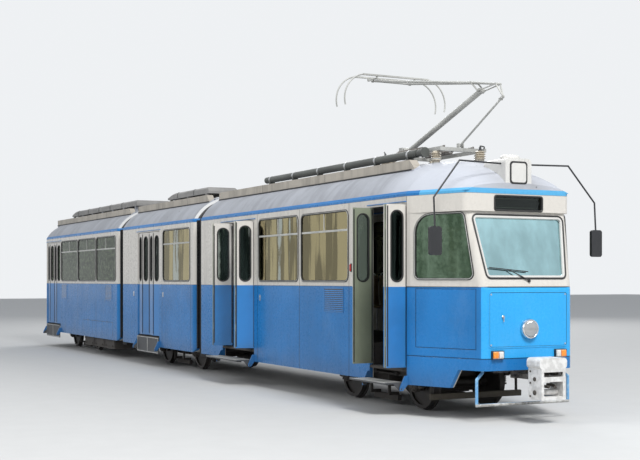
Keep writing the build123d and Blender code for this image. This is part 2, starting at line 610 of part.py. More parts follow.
# Door leaves. A leaf's own plane has x along the leaf from its hinge, y up, and its
# depth runs from the outer face towards the inside when the door is shut.
for door, (section, jamb_back, jamb_front, rear_count, front_count, angle) in DOORS.items():
    width = jamb_front - jamb_back
    pitch = width / 4 - 4.0 if rear_count == 2 else width / 3 - 2.0
    letters = iter("abcd")
    for way, count, jamb in ((-1, front_count, jamb_front), (1, rear_count, jamb_back)):
        hinge = Vector(jamb + way * POST_X, HINGE_Y, 0)
        for turn in range(count):
            lead = turn == 0
            swing = math.radians(angle + (4.0 if count == 1 else 0.0)) * (1 if lead else -1)
            along = Vector(way * math.cos(swing), -math.sin(swing), 0)
            inside = Vector(way * math.sin(swing), math.cos(swing), 0)
            leaf_plane = Plane(origin=hinge, x_dir=along, z_dir=along.cross(Vector(0, 0, 1)))
            depth_way = 1 if leaf_plane.z_dir.dot(inside) > 0 else -1
            outer_depth = 0.0 if lead else -(PAIR_DEPTH + LEAF_SKIN)
            near = 0.0 if lead else LEAF_GAP
            far = pitch - POST_X - (LEAF_GAP if count == 2 else 0.0) if lead else pitch - LEAF_GAP
            with BuildPart() as leaf:
                with BuildSketch(leaf_plane.offset(depth_way * outer_depth)):
                    with Locations(((near + far) / 2, (LEAF_LOW + LEAF_TOP) / 2)):
                        Rectangle(far - near, LEAF_TOP - LEAF_LOW)
                    with Locations(((near + far) / 2, (LEAF_WINDOW_LOW + LEAF_WINDOW_TOP) / 2)):
                        SlotOverall(LEAF_WINDOW_TOP - LEAF_WINDOW_LOW, (far - near) * 0.62, rotation=90, mode=Mode.SUBTRACT)
                extrude(amount=depth_way * LEAF_SKIN)
                if lead:
                    with Locations(hinge + Vector(0, 0, (LEAF_LOW + LEAF_TOP) / 2)):
                        Cylinder(POST_R, LEAF_TOP - LEAF_LOW)
                        Cylinder(PIN_R, LEAF_TOP - LEAF_LOW + 36)
                if count == 2:
                    pair_u = pitch - POST_X if lead else 0.0
                    pair_axis = hinge if not lead else hinge + along * (pitch - POST_X) + inside * (LEAF_SKIN + PAIR_DEPTH)
                    for low in (900.0, 1500.0, 2400.0):
                        z0 = low + (0.0 if lead else 60.5)
                        with Locations(pair_axis + Vector(0, 0, z0 + 30)):
                            Cylinder(KNUCKLE_R, 60)
                        inner_depth = LEAF_SKIN if lead else -PAIR_DEPTH
                        lug_u = (pair_u - 24, pair_u) if lead else (0.0, 24.0)
                        with BuildSketch(leaf_plane.offset(depth_way * (inner_depth - 2))):
                            with Locations((sum(lug_u) / 2, z0 + 30)):
                                Rectangle(24, 60)
                        extrude(amount=depth_way * (PAIR_DEPTH + 2))
            finish(leaf, f"{door}_leaf_{next(letters)}")
            if lead and count == 2:
                hinge = hinge + along * (pitch - POST_X) + inside * (LEAF_SKIN + PAIR_DEPTH)

# Folding steps, level under an open door and upright under a closed one
for door, (section, jamb_back, jamb_front, _, _, angle) in DOORS.items():
    is_open = angle > 45
    x_low = jamb_back + STEP_END
    x_high = jamb_front - STEP_END
    out = Vector(0, -1, 0) if is_open else Vector(0, 0, 1)
    up = Vector(0, 0, 1) if is_open else Vector(0, 1, 0)
    step_plane = Plane(origin=(x_low, STEP_AXIS_Y, STEP_AXIS_Z), x_dir=out, z_dir=(1, 0, 0))
    up_way = 1 if step_plane.y_dir.dot(up) > 0 else -1
    with BuildPart() as step:
        with BuildSketch(step_plane):
            with Locations(((STEP_OUT - STEP_IN) / 2, up_way * (STEP_TOP - STEP_SKIN / 2))):
                Rectangle(STEP_OUT + STEP_IN, STEP_SKIN)
        extrude(amount=x_high - x_low)
        for x in (0.0, x_high - x_low - 12):
            with BuildSketch(step_plane.offset(x)):
                with BuildLine():
                    Polyline((-20, up_way * (STEP_TOP - STEP_SKIN)), (-20, -up_way * 16), (20, -up_way * 16),
                             (90, up_way * (STEP_TOP - STEP_SKIN)), close=True)
                make_face()
            extrude(amount=12)
        for x, way in ((x_low, -1), (x_high, 1)):
            rod((x, STEP_AXIS_Y, STEP_AXIS_Z), (x + way * (STEP_END + 16), STEP_AXIS_Y, STEP_AXIS_Z), TRUNNION_R)
    finish(step, f"{door}_step")

# Bogies: outside frames with axle boxes, transom, pivot, track brakes and motors
FRAME_Y = (625.0, 695.0)
FRAME_Z = (440.0, 530.0)
FRAME_HALF_X = 1210.0
AXLE_BOX_R = 105.0
TRANSOM_HALF_X = 160.0
TRANSOM_Z = (450.0, 600.0)
CENTRE_R = 150.0
MAGNET_Y = (505.0, 560.0)
MAGNET_Z = (70.0, 150.0)
MOTOR_FAR_X = 850.0
MOTOR_HALF_Y = 380.0
MOTOR_Z = (230.0, 590.0)
for section, pivot_x in BOGIE_X.items():
    with BuildPart() as frame:
        for way in (-1, 1):
            with BuildSketch(Plane.XZ.offset(-way * FRAME_Y[0] if way > 0 else FRAME_Y[1])):
                with Locations((pivot_x, sum(FRAME_Z) / 2)):
                    Rectangle(2 * FRAME_HALF_X, FRAME_Z[1] - FRAME_Z[0])
                for side in (-1, 1):
                    with Locations((pivot_x + side * AXLE_SPREAD, AXLE_Z)):
                        Circle(AXLE_BOX_R)
                    with Locations((pivot_x + side * AXLE_SPREAD, (AXLE_Z + FRAME_Z[0]) / 2)):
                        Rectangle(2 * AXLE_BOX_R, FRAME_Z[0] - AXLE_Z)
            extrude(amount=-(FRAME_Y[1] - FRAME_Y[0]))
            for side in (-1, 1):
                rod((pivot_x + side * AXLE_SPREAD, way * (FRAME_Y[0] - 5), AXLE_Z),
                    (pivot_x + side * AXLE_SPREAD, way * (FRAME_Y[0] + 38), AXLE_Z),
                    JOURNAL_R + JOURNAL_GAP, mode=Mode.SUBTRACT)
            block(pivot_x - 330, pivot_x + 330, *sorted((way * MAGNET_Y[0], way * MAGNET_Y[1])), *MAGNET_Z)
            for side in (-1, 1):
                x = pivot_x + side * 250
                block(x - 20, x + 20, *sorted((way * MAGNET_Y[0], way * 665)), MAGNET_Z[1], MAGNET_Z[1] + 40)
                block(x - 20, x + 20, *sorted((way * 635, way * 665)), MAGNET_Z[1], FRAME_Z[0])
        block(pivot_x - TRANSOM_HALF_X, pivot_x + TRANSOM_HALF_X, -FRAME_Y[0], FRAME_Y[0], *TRANSOM_Z)
        with Locations((pivot_x, 0, (TRANSOM_Z[1] + BOLSTER_Z - SEAT_GAP) / 2)):
            Cylinder(CENTRE_R, BOLSTER_Z - SEAT_GAP - TRANSOM_Z[1])
        for side in (-1, 1):
            x = (pivot_x + side * TRANSOM_HALF_X, pivot_x + side * MOTOR_FAR_X)
            block(*sorted(x), -MOTOR_HALF_Y, MOTOR_HALF_Y, *MOTOR_Z)
    finish(frame, f"{section}_bogie_frame")

# Wheelsets: both wheels and their axle turned as one profile round the axle
RIM_R = TREAD_R - 52.0
WHEEL_PROFILE = (
    (0.0, 60.0), (WHEEL_BACK_Y, 60.0), (WHEEL_BACK_Y, FLANGE_R - 9), (WHEEL_BACK_Y + 7, FLANGE_R),
    (WHEEL_BACK_Y + 17, FLANGE_R), (FLANGE_Y, TREAD_R + 3), (WHEEL_FACE_Y, TREAD_R - 2), (WHEEL_FACE_Y, RIM_R),
    (WHEEL_FACE_Y - 31, RIM_R), (WHEEL_FACE_Y - 31, 92.0), (590.0, 92.0), (590.0, JOURNAL_R), (660.0, JOURNAL_R),
    (660.0, 0.0),
)
for section, pivot_x in BOGIE_X.items():
    for place, side in (("leading", 1), ("trailing", -1)):
        origin = (pivot_x + side * AXLE_SPREAD, 0, AXLE_Z)
        with BuildPart() as wheelset:
            with BuildSketch(Plane(origin=origin, x_dir=(0, 1, 0), z_dir=(1, 0, 0))):
                with BuildLine():
                    half = list(WHEEL_PROFILE)
                    Polyline(*[(-y, r) for y, r in reversed(half)], *half[1:], close=True)
                make_face()
            revolve(axis=Axis(origin, (0, 1, 0)))
        finish(wheelset, f"{section}_{place}_wheelset")

# Pantograph: lower arm, control rod and upper arm form one linkage over the base
FOOT = Vector(7110.0, 0, CROWN_Z + 250)
ROD_FOOT = Vector(8440.0, 0, CROWN_Z + 200)
KNEE = Vector(8928.0, 0, CROWN_Z + 870)
TAIL = Vector(9420.0, 0, CROWN_Z + 730)
CREST = Vector(8773.0, 0, CROWN_Z + 999)
BROW = Vector(9310.0, 0, CROWN_Z + 906)
HEAD = Vector(6600.0, 0, CROWN_Z + 1325)
RAIL_Y = (330.0, 370.0)
RAIL_Z = (CROWN_Z + 115.0, CROWN_Z + 165.0)
INSULATOR_R = 48.0
INSULATOR_Z = 220.0
STRIP_X = 130.0
STRIP_HALF_Y = 560.0
STRIP_Z = (HEAD.Z + 52.0, HEAD.Z + 75.0)
HORN_R = 11.0


def across(point, y0, y1):
    """Two points of a pin that runs across the tram through a pivot."""
    return (point.X, y0, point.Z), (point.X, y1, point.Z)


with BuildPart() as base:
    for x in (7200.0, 8380.0):
        for y in (-350.0, 350.0):
            with Locations((x, y, RAIL_Z[0] - INSULATOR_Z / 2)):
                Cylinder(INSULATOR_R, INSULATOR_Z)
                Cylinder(INSULATOR_R + 20, 30)
    for way in (-1, 1):
        block(7060, 8520, *sorted((way * RAIL_Y[0], way * RAIL_Y[1])), *RAIL_Z)
        block(7070, 7150, *sorted((way * 130, way * 150)), RAIL_Z[0], FOOT.Z + 40)
        block(8410, 8470, *sorted((way * 28, way * 40)), RAIL_Z[0], ROD_FOOT.Z + 25)
    for x in (FOOT.X, ROD_FOOT.X):
        block(x - 30, x + 30, -RAIL_Y[0], RAIL_Y[0], *RAIL_Z)
    rod(*across(FOOT, -150, 150), 24)
    rod(*across(ROD_FOOT, -40, 40), 10)
    add(roof_solid["front"].moved(Location((0, 0, SEAT_GAP))), mode=Mode.SUBTRACT)
finish(base, "pantograph_base")

with BuildPart() as lower_arm:
    rod(FOOT, KNEE, 38)
    rod(*across(FOOT, -120, 120), 45)
    rod(*across(KNEE, -38, 38), 34)
    rod(*across(FOOT, -130, 130), 24.5, mode=Mode.SUBTRACT)
    rod(*across(KNEE, -60, 60), 14.5, mode=Mode.SUBTRACT)
finish(lower_arm, "pantograph_lower_arm")

with BuildPart() as control_rod:
    reach = (TAIL - ROD_FOOT).normalized()
    neck = TAIL - reach * 60
    rod(ROD_FOOT, neck, 14)
    rod(*across(ROD_FOOT, -22, 22), 24)
    rod(*across(ROD_FOOT, -30, 30), 10.5, mode=Mode.SUBTRACT)
    block(neck.X - 12, neck.X + 12, -26, 26, neck.Z - 14, neck.Z + 14)
    for way in (-1, 1):
        rod((neck.X, way * 21, neck.Z), (TAIL.X, way * 21, TAIL.Z), 8)
finish(control_rod, "pantograph_control_rod")

with BuildPart() as upper_arm:
    rod(*across(CREST, -66, 66), 19)
    rod(*across(KNEE, -62, 62), 14)
    rod(*across(BROW, -46, 46), 16)
    rod(*across(TAIL, -9, 9), 20)
    for way in (-1, 1):
        rod((HEAD.X, way * 280, HEAD.Z), (CREST.X, way * 50, CREST.Z), 17)
        rod((CREST.X, way * 50, CREST.Z), (BROW.X, way * 35, BROW.Z), 13)
        rod((BROW.X, way * 35, BROW.Z), TAIL, 10)
        rod((CREST.X, way * 52, CREST.Z), (KNEE.X, way * 52, KNEE.Z), 11)
        rod((KNEE.X, way * 52, KNEE.Z), (BROW.X, way * 38, BROW.Z), 9)
    rod(*across(HEAD, -345, 345), 14)
finish(upper_arm, "pantograph_upper_arm")

with BuildPart() as head:
    for way in (-1, 1):
        for side in (-1, 1):
            x = HEAD.X + side * STRIP_X
            with BuildLine():
                horn = ThreePointArc((x, way * STRIP_HALF_Y, HEAD.Z + 62), (x, way * 775, HEAD.Z - 60),
                                     (x, way * 850, HEAD.Z - 400))
            with BuildSketch(Plane(origin=horn @ 0, z_dir=horn % 0)):
                Circle(HORN_R)
            revolve(axis=Axis(horn.arc_center, (-way, 0, 0)), revolution_arc=math.degrees(horn.length / horn.radius))
        block(HEAD.X - STRIP_X, HEAD.X + STRIP_X, *sorted((way * 310, way * 335)), HEAD.Z + 12, HEAD.Z + 30)
        rod((HEAD.X, way * 308, HEAD.Z), (HEAD.X, way * 337, HEAD.Z), 24)
        rod((HEAD.X, way * 300, HEAD.Z), (HEAD.X, way * 340, HEAD.Z), 14.5, mode=Mode.SUBTRACT)
        for side in (-1, 1):
            x = HEAD.X + side * STRIP_X
            block(x - 10, x + 10, *sorted((way * 310, way * 335)), HEAD.Z + 12, STRIP_Z[0])
    for side in (-1, 1):
        x = HEAD.X + side * STRIP_X
        block(x - 20, x + 20, -STRIP_HALF_Y, STRIP_HALF_Y, *STRIP_Z)
finish(head, "pantograph_head")

# Couplers: a rounded cover over an open frame with a shelf and a roller, and the shank
COUPLER_HALF = 180.0
COUPLER_LOW = 301.0
COUPLER_BAR = 38.0
SHELF_Z = (520.0, 580.0)
COVER_HALF = 205.0
COVER_Z = (675.0, 808.0)
COVER_R = 48.0
ROLLER_R = 36.0
SHANK_X = 9700.0
for name, way, head_x in (("front_coupler", 1, 10190.0), ("rear_coupler", -1, 10300.0)):
    with BuildPart() as coupler:
        head = sorted((way * head_x, way * COUPLER_X))
        inside = COUPLER_HALF - COUPLER_BAR
        block(*head, -COUPLER_HALF, COUPLER_HALF, COUPLER_LOW, COVER_Z[0] + 10)
        for low, high in ((COUPLER_LOW + COUPLER_BAR, SHELF_Z[0]), (SHELF_Z[1], COVER_Z[0] - COUPLER_BAR)):
            block(*head, -inside, inside, low, high, mode=Mode.SUBTRACT)
        with BuildSketch(Plane.YZ.offset(head[0])):
            with Locations((0, sum(COVER_Z) / 2)):
                RectangleRounded(2 * COVER_HALF, COVER_Z[1] - COVER_Z[0], COVER_R)
        extrude(amount=head[1] - head[0])
        roller_x = (head_x + COUPLER_X) / 2 * way
        roller_z = COUPLER_LOW + COUPLER_BAR + ROLLER_R + 12
        rod((roller_x, -inside - 1, roller_z), (roller_x, inside + 1, roller_z), ROLLER_R)
        block(*sorted((way * SHANK_X, way * head_x)), -45, 45, *SHELF_Z)
        block(*sorted((way * SHANK_X, way * (SHANK_X + 80))), -90, 90, SHELF_Z[0], FLOOR_UNDER)
    finish(coupler, name)

# Lifeguard hoop under the front, hung from the floor
LIFEGUARD_R = 19.0
HOOP_X = NOSE_X - 115.0
HOOP_Y = 700.0
HOOP_Z = 208.0
with BuildPart() as lifeguard:
    for way in (-1, 1):
        route = ((HOOP_X - 65, way * 590, FLOOR_UNDER + 20), (HOOP_X - 35, way * 590, BUMPER_Z - 30),
                 (HOOP_X, way * HOOP_Y, BUMPER_Z - 110), (HOOP_X, way * HOOP_Y, HOOP_Z), (HOOP_X, 0, HOOP_Z))
        for start, end in zip(route, route[1:]):
            rod(start, end, LIFEGUARD_R)
            with Locations(end):
                Sphere(LIFEGUARD_R)
    block(HOOP_X - 200, HOOP_X + 100, -HOOP_Y, HOOP_Y, FLOOR_UNDER, FLOOR_Z, mode=Mode.SUBTRACT)
finish(lifeguard, "lifeguard")

# Lamps on the nose
LAMP_Z = 1142.0
LAMP_R = 115.0
with BuildPart() as lamps:
    rod((NOSE_X + SEAT_GAP, 0, LAMP_Z), (NOSE_X + 42, 0, LAMP_Z), LAMP_R)
    for way in (-1, 1):
        block(NOSE_X + SEAT_GAP, NOSE_X + 30, *sorted((way * 400, way * 560)), 785, 875)
finish(lamps, "front_lamps")

# Number box on the dome and the mirrors on their arms
BOX_FACE_X = HEADER_X - 2.0
BOX_BACK_X = BOX_FACE_X - 470.0
BOX_HALF = 200.0
BOX_LOW = CANT_Z + 60.0
BOX_TOP = CROWN_Z - 95.0
BOX_R = 60.0
CAP_R = 125.0
CAP_Z = 55.0
with BuildPart() as number_box:
    with BuildSketch(Plane.YZ.offset(BOX_BACK_X)) as face:
        with Locations((0, (BOX_LOW + BOX_TOP) / 2)):
            Rectangle(2 * BOX_HALF, BOX_TOP - BOX_LOW)
        fillet(face.vertices().group_by(Axis.Z)[-1], BOX_R)
    extrude(amount=BOX_FACE_X - BOX_BACK_X)
    with Locations((BOX_FACE_X - CAP_R - 60, 0, BOX_TOP + CAP_Z / 2)):
        Cylinder(CAP_R, CAP_Z)
    fillet(number_box.edges().group_by(Axis.Z)[-1], CAP_Z - 15)
    add(roof_solid["front"].moved(Location((0, 0, SEAT_GAP))), mode=Mode.SUBTRACT)
finish(number_box, "number_box")

MIRROR_X = 9750.0
MIRROR_Y = HALF_WIDTH + 140.0
MIRROR_HALF = 85.0
MIRROR_Z = (2050.0, 2400.0)
MIRROR_SKIN = 40.0
ARM_R = 11.0
with BuildPart() as mirrors:
    for way in (-1, 1):
        route = ((BOX_FACE_X - 100, way * (BOX_HALF + 1), BOX_TOP - 65), (9680, way * 840, BOX_TOP - 55),
                 (9720, way * MIRROR_Y, 2755), (MIRROR_X, way * MIRROR_Y, 2300))
        for start, end in zip(route, route[1:]):
            rod(start, end, ARM_R)
            with Locations(end):
                Sphere(ARM_R)
        with BuildSketch(Plane.YZ.offset(MIRROR_X - MIRROR_SKIN / 2)):
            with Locations((way * MIRROR_Y, sum(MIRROR_Z) / 2)):
                RectangleRounded(2 * MIRROR_HALF, MIRROR_Z[1] - MIRROR_Z[0], 35)
        extrude(amount=MIRROR_SKIN)
finish(mirrors, "mirrors")

# The long cable tube over the front roof, on saddles, with a flared end
TUBE_X = (3150.0, 8100.0)
TUBE_Y = -470.0
TUBE_Z = CROWN_Z + 100.0
TUBE_R = 55.0
FLARE = 200.0
SADDLES = 6
with BuildPart() as tube:
    rod((TUBE_X[0], TUBE_Y, TUBE_Z), (TUBE_X[1], TUBE_Y, TUBE_Z), TUBE_R)
    with Locations(Location((TUBE_X[1] + FLARE / 2, TUBE_Y, TUBE_Z), (0, 90, 0))):
        Cone(TUBE_R - 15, TUBE_R + 14, FLARE)
    for place in range(SADDLES):
        x = TUBE_X[0] + 200 + place * (TUBE_X[1] - TUBE_X[0] - 400) / (SADDLES - 1)
        block(x - 25, x + 25, TUBE_Y - 45, TUBE_Y + 45, CANT_Z + 300, TUBE_Z)
    add(roof_solid["front"].moved(Location((0, 0, SEAT_GAP))), mode=Mode.SUBTRACT)
finish(tube, "roof_tube")

# Seats: places of their cushions' centres, right side and left side
SEATS = {
    "front": ((4500.0, 5300.0, 6100.0, 6900.0), (3000.0, 3800.0, 4600.0, 5400.0, 6200.0, 7000.0, 7800.0)),
    "middle": ((-150.0, 700.0), (-1900.0, -1100.0, -300.0, 500.0)),
    "rear": ((-7800.0, -7000.0, -6200.0, -5400.0, -4600.0), (-9000.0, -8200.0, -7400.0, -6600.0, -5800.0, -5000.0)),
}
SEAT_WIDE = 430.0
SEAT_LONG = 430.0
SEAT_Z = FLOOR_Z + 430.0
BACK_Z = FLOOR_Z + 930.0


def seat(x, y0, y1):
    """A bench seat on a pedestal, facing forward."""
    block(x - SEAT_LONG / 2, x + SEAT_LONG / 2, y0, y1, SEAT_Z - 60, SEAT_Z)
    block(x - SEAT_LONG / 2, x - SEAT_LONG / 2 + 60, y0, y1, SEAT_Z - 60, BACK_Z)
    block(x - 60, x + 60, y0 + 100, y1 - 100, FLOOR_Z, SEAT_Z - 60)


for section, (right_places, left_places) in SEATS.items():
    with BuildPart() as seats:
        for x in right_places:
            seat(x, -HALF_WIDTH + WALL + 10, -HALF_WIDTH + WALL + 10 + SEAT_WIDE)
        for x in left_places:
            seat(x, HALF_WIDTH - WALL - 10 - SEAT_WIDE, HALF_WIDTH - WALL - 10)
        if section == "front":
            seat(9050.0, -220.0, 220.0)
    finish(seats, f"{section}_seats")

with BuildPart() as desk:
    block(9420, 9700, -560, 560, FLOOR_Z, 1560)
finish(desk, "driver_desk")
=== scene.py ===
"""Finish and fittings of a three-section articulated tram, built round its packed construction.

All sizes are metres in the construction's frame: X forward, Y left, Z up, the origin on the
track centreline at the height of the wheel flanges' lowest points.
"""
import math
from functools import partialmethod, reduce

import bmesh
import bpy
import numpy as np
from bpy.props import FloatProperty, FloatVectorProperty, PointerProperty
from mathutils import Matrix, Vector


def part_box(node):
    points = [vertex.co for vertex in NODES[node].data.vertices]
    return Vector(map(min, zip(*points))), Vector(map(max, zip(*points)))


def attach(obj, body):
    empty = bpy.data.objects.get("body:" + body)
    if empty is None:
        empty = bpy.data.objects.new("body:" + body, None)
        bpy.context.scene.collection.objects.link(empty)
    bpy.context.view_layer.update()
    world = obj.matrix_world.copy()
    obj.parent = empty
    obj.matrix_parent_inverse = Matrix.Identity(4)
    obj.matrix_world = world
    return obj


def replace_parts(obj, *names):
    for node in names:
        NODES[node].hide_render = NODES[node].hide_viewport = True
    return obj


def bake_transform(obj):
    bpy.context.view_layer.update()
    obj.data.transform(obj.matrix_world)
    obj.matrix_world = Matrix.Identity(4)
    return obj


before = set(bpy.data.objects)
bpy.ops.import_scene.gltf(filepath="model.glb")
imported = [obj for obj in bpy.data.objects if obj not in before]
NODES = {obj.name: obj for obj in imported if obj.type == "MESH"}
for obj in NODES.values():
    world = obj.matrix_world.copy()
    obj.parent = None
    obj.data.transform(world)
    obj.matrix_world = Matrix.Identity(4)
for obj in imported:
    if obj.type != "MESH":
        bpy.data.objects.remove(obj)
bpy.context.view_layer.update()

bl_info = {
    "name": "Articulated Tram Finish",
    "version": (1, 0, 0),
    "blender": (4, 5, 0),
    "location": "3D View > Sidebar > Tram",
    "description": "Paint, rubber, glass and fittings of an articulated tram",
    "category": "Object",
}

SIDES = (-1, 1)

# Driving places: those that the construction's boxes give, then floor, belt, roof, nose and rear
HALF_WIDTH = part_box("middle_roof")[1].y
CAB_X, NOSE_X = (corner.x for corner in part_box("cab_front"))
REAR_X, TAIL_X = (corner.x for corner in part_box("rear_end"))
SKIRT_Z, CANT_Z = (corner.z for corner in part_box("middle_side_walls"))
FLOOR_Z = 0.895
BELT_Z = 1.630
CROWN_Z = 3.375
SHOULDER = (0.70, 3.235)
HEADER_X = 9.752
NOSE_HALF = 0.670
REAR_HALF = 0.890
NOSE_LEAN = 0.24615
REAR_LEAN = 0.0894

# Paint lines above the flanges' lowest points
BUMPER_Z = 0.782
BLUE_TOP = 1.662
STRIPE_LOW = 2.826
STRIPE_TOP = 2.892
HOOD_LOW = 3.440

# Panel joints: upright ones, those of the cab's side panel, and those of the rear section's skirt hatches
PANEL_JOINTS = (5.715, 7.300, 4.150, 1.075, -0.515, -5.115, -6.670, CAB_X)
CAB_PANEL_X = (8.990, 9.848)
CAB_PANEL_Z = (0.895, 1.637)
SKIRT_HATCH_X = (-3.80, -4.62, -5.42, -6.22)
SKIRT_HATCH_Z = (0.46, 0.80)

# Pivots of the articulations, half the space between two sections, and how round their ends are
JOINTS = {"front": 1.405, "rear": -3.270}
JOINT_HALF = 0.137
JOINT_ROUND = 0.100

# Bogies: their places, half the wheelbase, height of the axles, and how far out springs and frames are
BOGIE_X = {"front": 7.400, "middle": -0.720, "rear": -7.750}
AXLE_SPREAD = 0.950
AXLE_Z = 0.355
BOGIE_SPRING_Y = 0.660
BOGIE_FACE_Y = 0.6952

# Distance of each coupler's head and face from the tram's origin, and half its width over the cheeks
COUPLER_HEADS = {"front": 10.190, "rear": 10.300}
COUPLER_FACE = 10.450
COUPLER_CHEEK_Y = 0.1802

# Side windows: rear edge and front edge on the right side (-1) and on the left side (1)
WINDOWS = {
    ("front", -1): ((4.190, 5.680), (5.770, 7.280)),
    ("middle", -1): ((-0.470, 1.040),),
    ("rear", -1): ((-8.240, -6.690), (-6.650, -5.140), (-5.090, -3.580)),
    ("front", 1): ((2.030, 2.600), (2.690, 4.100), (4.190, 5.680), (5.770, 7.280), (7.370, 8.500)),
    ("middle", 1): ((-2.560, -2.000), (-1.910, -0.560), (-0.470, 1.040)),
    ("rear", 1): ((-9.600, -8.330), (-8.240, -6.690), (-6.650, -5.140), (-5.090, -3.580)),
}
WINDOW_Z = (1.725, 2.735)
WINDOW_R = 0.090
VENT_Z = 2.455

# Doors on the right side: section, rear jamb and front jamb
DOORS = {
    "door_1": ("front", 7.890, 8.850),
    "door_2": ("front", 2.650, 4.010),
    "door_3": ("middle", -2.030, -0.670),
    "door_4": ("rear", -9.670, -8.310),
}
STEP_Z = 0.600

# On the right side of each section: places of the door button plates, and both ends of the air grilles
BUTTONS = {"front": (4.250,), "middle": (-0.450, -2.290), "rear": ()}
GRILLES = {"front": ((6.530, 7.145),), "middle": (), "rear": ((-8.21, -7.68), (-4.39, -3.86))}
GRILLE_Z = (1.283, 1.642)

# Rear and front end of each section's saloon and of its roof fairings
SECTION_ENDS = {"front": (1.542, CAB_X), "middle": (-3.133, 1.268), "rear": (TAIL_X, -3.407)}
FAIRINGS = {"front": (1.66, 8.42), "middle": (-3.03, 1.15), "rear": (-9.90, -3.56)}

# Headlamp, lamp clusters and hatch handle on the nose, route plate on the dome, and mirrors
HEADLAMP_Z = 1.142
CLUSTER_Y = (0.400, 0.560)
CLUSTER_Z = (0.785, 0.875)
LAMP_COVERS = (("clear", 0.404, 0.472), ("orange", 0.480, 0.556))
HANDLE_Y = -0.390
DOME_X = 9.750
MIRROR_X = 9.730
MIRROR_Z = (2.050, 2.400)

# Hoods over the roof: rear and front end, half width, foot and top
HOODS = {"middle": (-2.38, 0.0, 0.310, 3.470, 3.595), "rear": (-9.75, -4.20, 0.400, 3.455, 3.585)}

# Roof tube, tops of the collector's insulators, its springs, and the places of the insulators
TUBE_Y = -0.470
COLLECTOR_Z = 3.486
SPRING_Z = 3.560
INSULATORS = ((7.20, -0.35), (7.20, 0.35), (8.38, -0.35), (8.38, 0.35), (8.62, 0.20), (6.72, -0.18))

# Places of the seats along each section, on the right side and on the left side
SEATS = {
    "front": ((4.5, 5.3, 6.1, 6.9), (3.0, 3.8, 4.6, 5.4, 6.2, 7.0, 7.8)),
    "middle": ((-0.15, 0.70), (-1.9, -1.1, -0.3, 0.5)),
    "rear": ((-7.8, -7.0, -6.2, -5.4, -4.6), (-9.0, -8.2, -7.4, -6.6, -5.8, -5.0)),
}

# Width of a bench, grab rails, and top of the driver's desk
SEAT_WIDTH = 0.43
RAIL_Y = 0.46
RAIL_Z = 2.80
DESK_Z = 1.5603

# Boxes under the rear section: rear and front edge
UNDERFLOOR_BOXES = ((-6.22, -5.46), (-5.43, -4.67), (-4.64, -3.88))


def colour_of(name, description, default):
    """A colour that can be changed."""
    return FloatVectorProperty(name=name, description=description, subtype="COLOR", size=3, min=0, max=1,
                               default=default)


def length_of(name, description, default, low, high):
    """A length that can be changed."""
    return FloatProperty(name=name, description=description, subtype="DISTANCE", unit="LENGTH",
                         default=default, min=low, max=high)


class TramPaint(bpy.types.PropertyGroup):
    """Colours of the tram's finishes."""

    blue: colour_of("Body blue", "Gloss paint below the windows and of the roof line", (0.014, 0.165, 0.440))
    # The nose blue is partly the front panel's own brighter paint and partly painted sunlight on the front
    nose_blue_and_sunlight: colour_of("Nose blue", "Fresh gloss paint of the front panel", (0.034, 0.380, 0.800))
    cream: colour_of("Window band", "Gloss paint round the windows", (0.600, 0.570, 0.520))
    roof: colour_of("Roof", "Weathered paint of the roof", (0.320, 0.334, 0.366))
    fairing: colour_of("Roof fairing", "Weathered paint of the long roof fairings", (0.430, 0.390, 0.330))
    hood: colour_of("Roof hood", "Dusty grey of the low hoods over the roof", (0.270, 0.262, 0.250))
    lining: colour_of("Inner lining", "Laminate inside the saloon", (0.420, 0.410, 0.360))
    leaf_inside: colour_of("Door inside", "Paint of the doors' inner faces", (0.250, 0.280, 0.200))
    grime: colour_of("Grime", "Dust and brake dirt that collects low down", (0.075, 0.062, 0.050))


class TramSizes(bpy.types.PropertyGroup):
    """Sizes of the fittings."""

    gasket: length_of("Gasket width", "Width of the window rubber that shows", 0.026, 0.005, 0.08)
    panel_waves: length_of("Panel waves", "Depth of the waves in the pressed side panels", 0.0025, 0, 0.02)
    bellows_depth: length_of("Bellows depth", "Depth of the folds at the articulations", 0.040, 0.01, 0.08)
    pole_radius: length_of("Pole radius", "Radius of the grab poles in the saloon", 0.017, 0.008, 0.04)
    seat_skin: length_of("Seat thickness", "Thickness of the moulded seats", 0.022, 0.005, 0.06)


class StageSettings(bpy.types.PropertyGroup):
    """Camera and light."""

    camera_place: FloatVectorProperty(
        name="Camera", description="The camera's place", subtype="TRANSLATION", unit="LENGTH",
        size=3, default=(21.89, -8.99, 1.750))
    camera_way: FloatVectorProperty(
        name="View direction", description="The camera's level line of sight", subtype="DIRECTION",
        size=3, default=(-0.891, 0.454, 0.0))
    focal_length: FloatProperty(
        name="Focal length", description="Focal length on a 36 mm sensor, in millimetres",
        default=66.6, min=10, max=300)
    rise: FloatProperty(
        name="Lens rise", description="Upward shift of the picture as a share of its width",
        default=0.078, min=-0.5, max=0.5)


class Wire:
    """A socket that works in sums: each operator adds its Math node."""

    def __init__(self, shader, socket):
        self.shader = shader
        self.socket = socket

    def maths(self, operation, *others):
        """A Math node on this socket and others."""
        return self.shader.maths(operation, self, *others)

    def __rsub__(self, other):
        return self.shader.maths("SUBTRACT", other, self)

    def __rtruediv__(self, other):
        return self.shader.maths("DIVIDE", other, self)

    def __rpow__(self, other):
        return self.shader.maths("POWER", other, self)

    __add__ = __radd__ = partialmethod(maths, "ADD")
    __sub__ = partialmethod(maths, "SUBTRACT")
    __mul__ = __rmul__ = partialmethod(maths, "MULTIPLY")
    __truediv__ = partialmethod(maths, "DIVIDE")
    __pow__ = partialmethod(maths, "POWER")
    __gt__ = partialmethod(maths, "GREATER_THAN")
    __lt__ = partialmethod(maths, "LESS_THAN")
    __abs__ = partialmethod(maths, "ABSOLUTE")
    larger = partialmethod(maths, "MAXIMUM")
    smaller = partialmethod(maths, "MINIMUM")


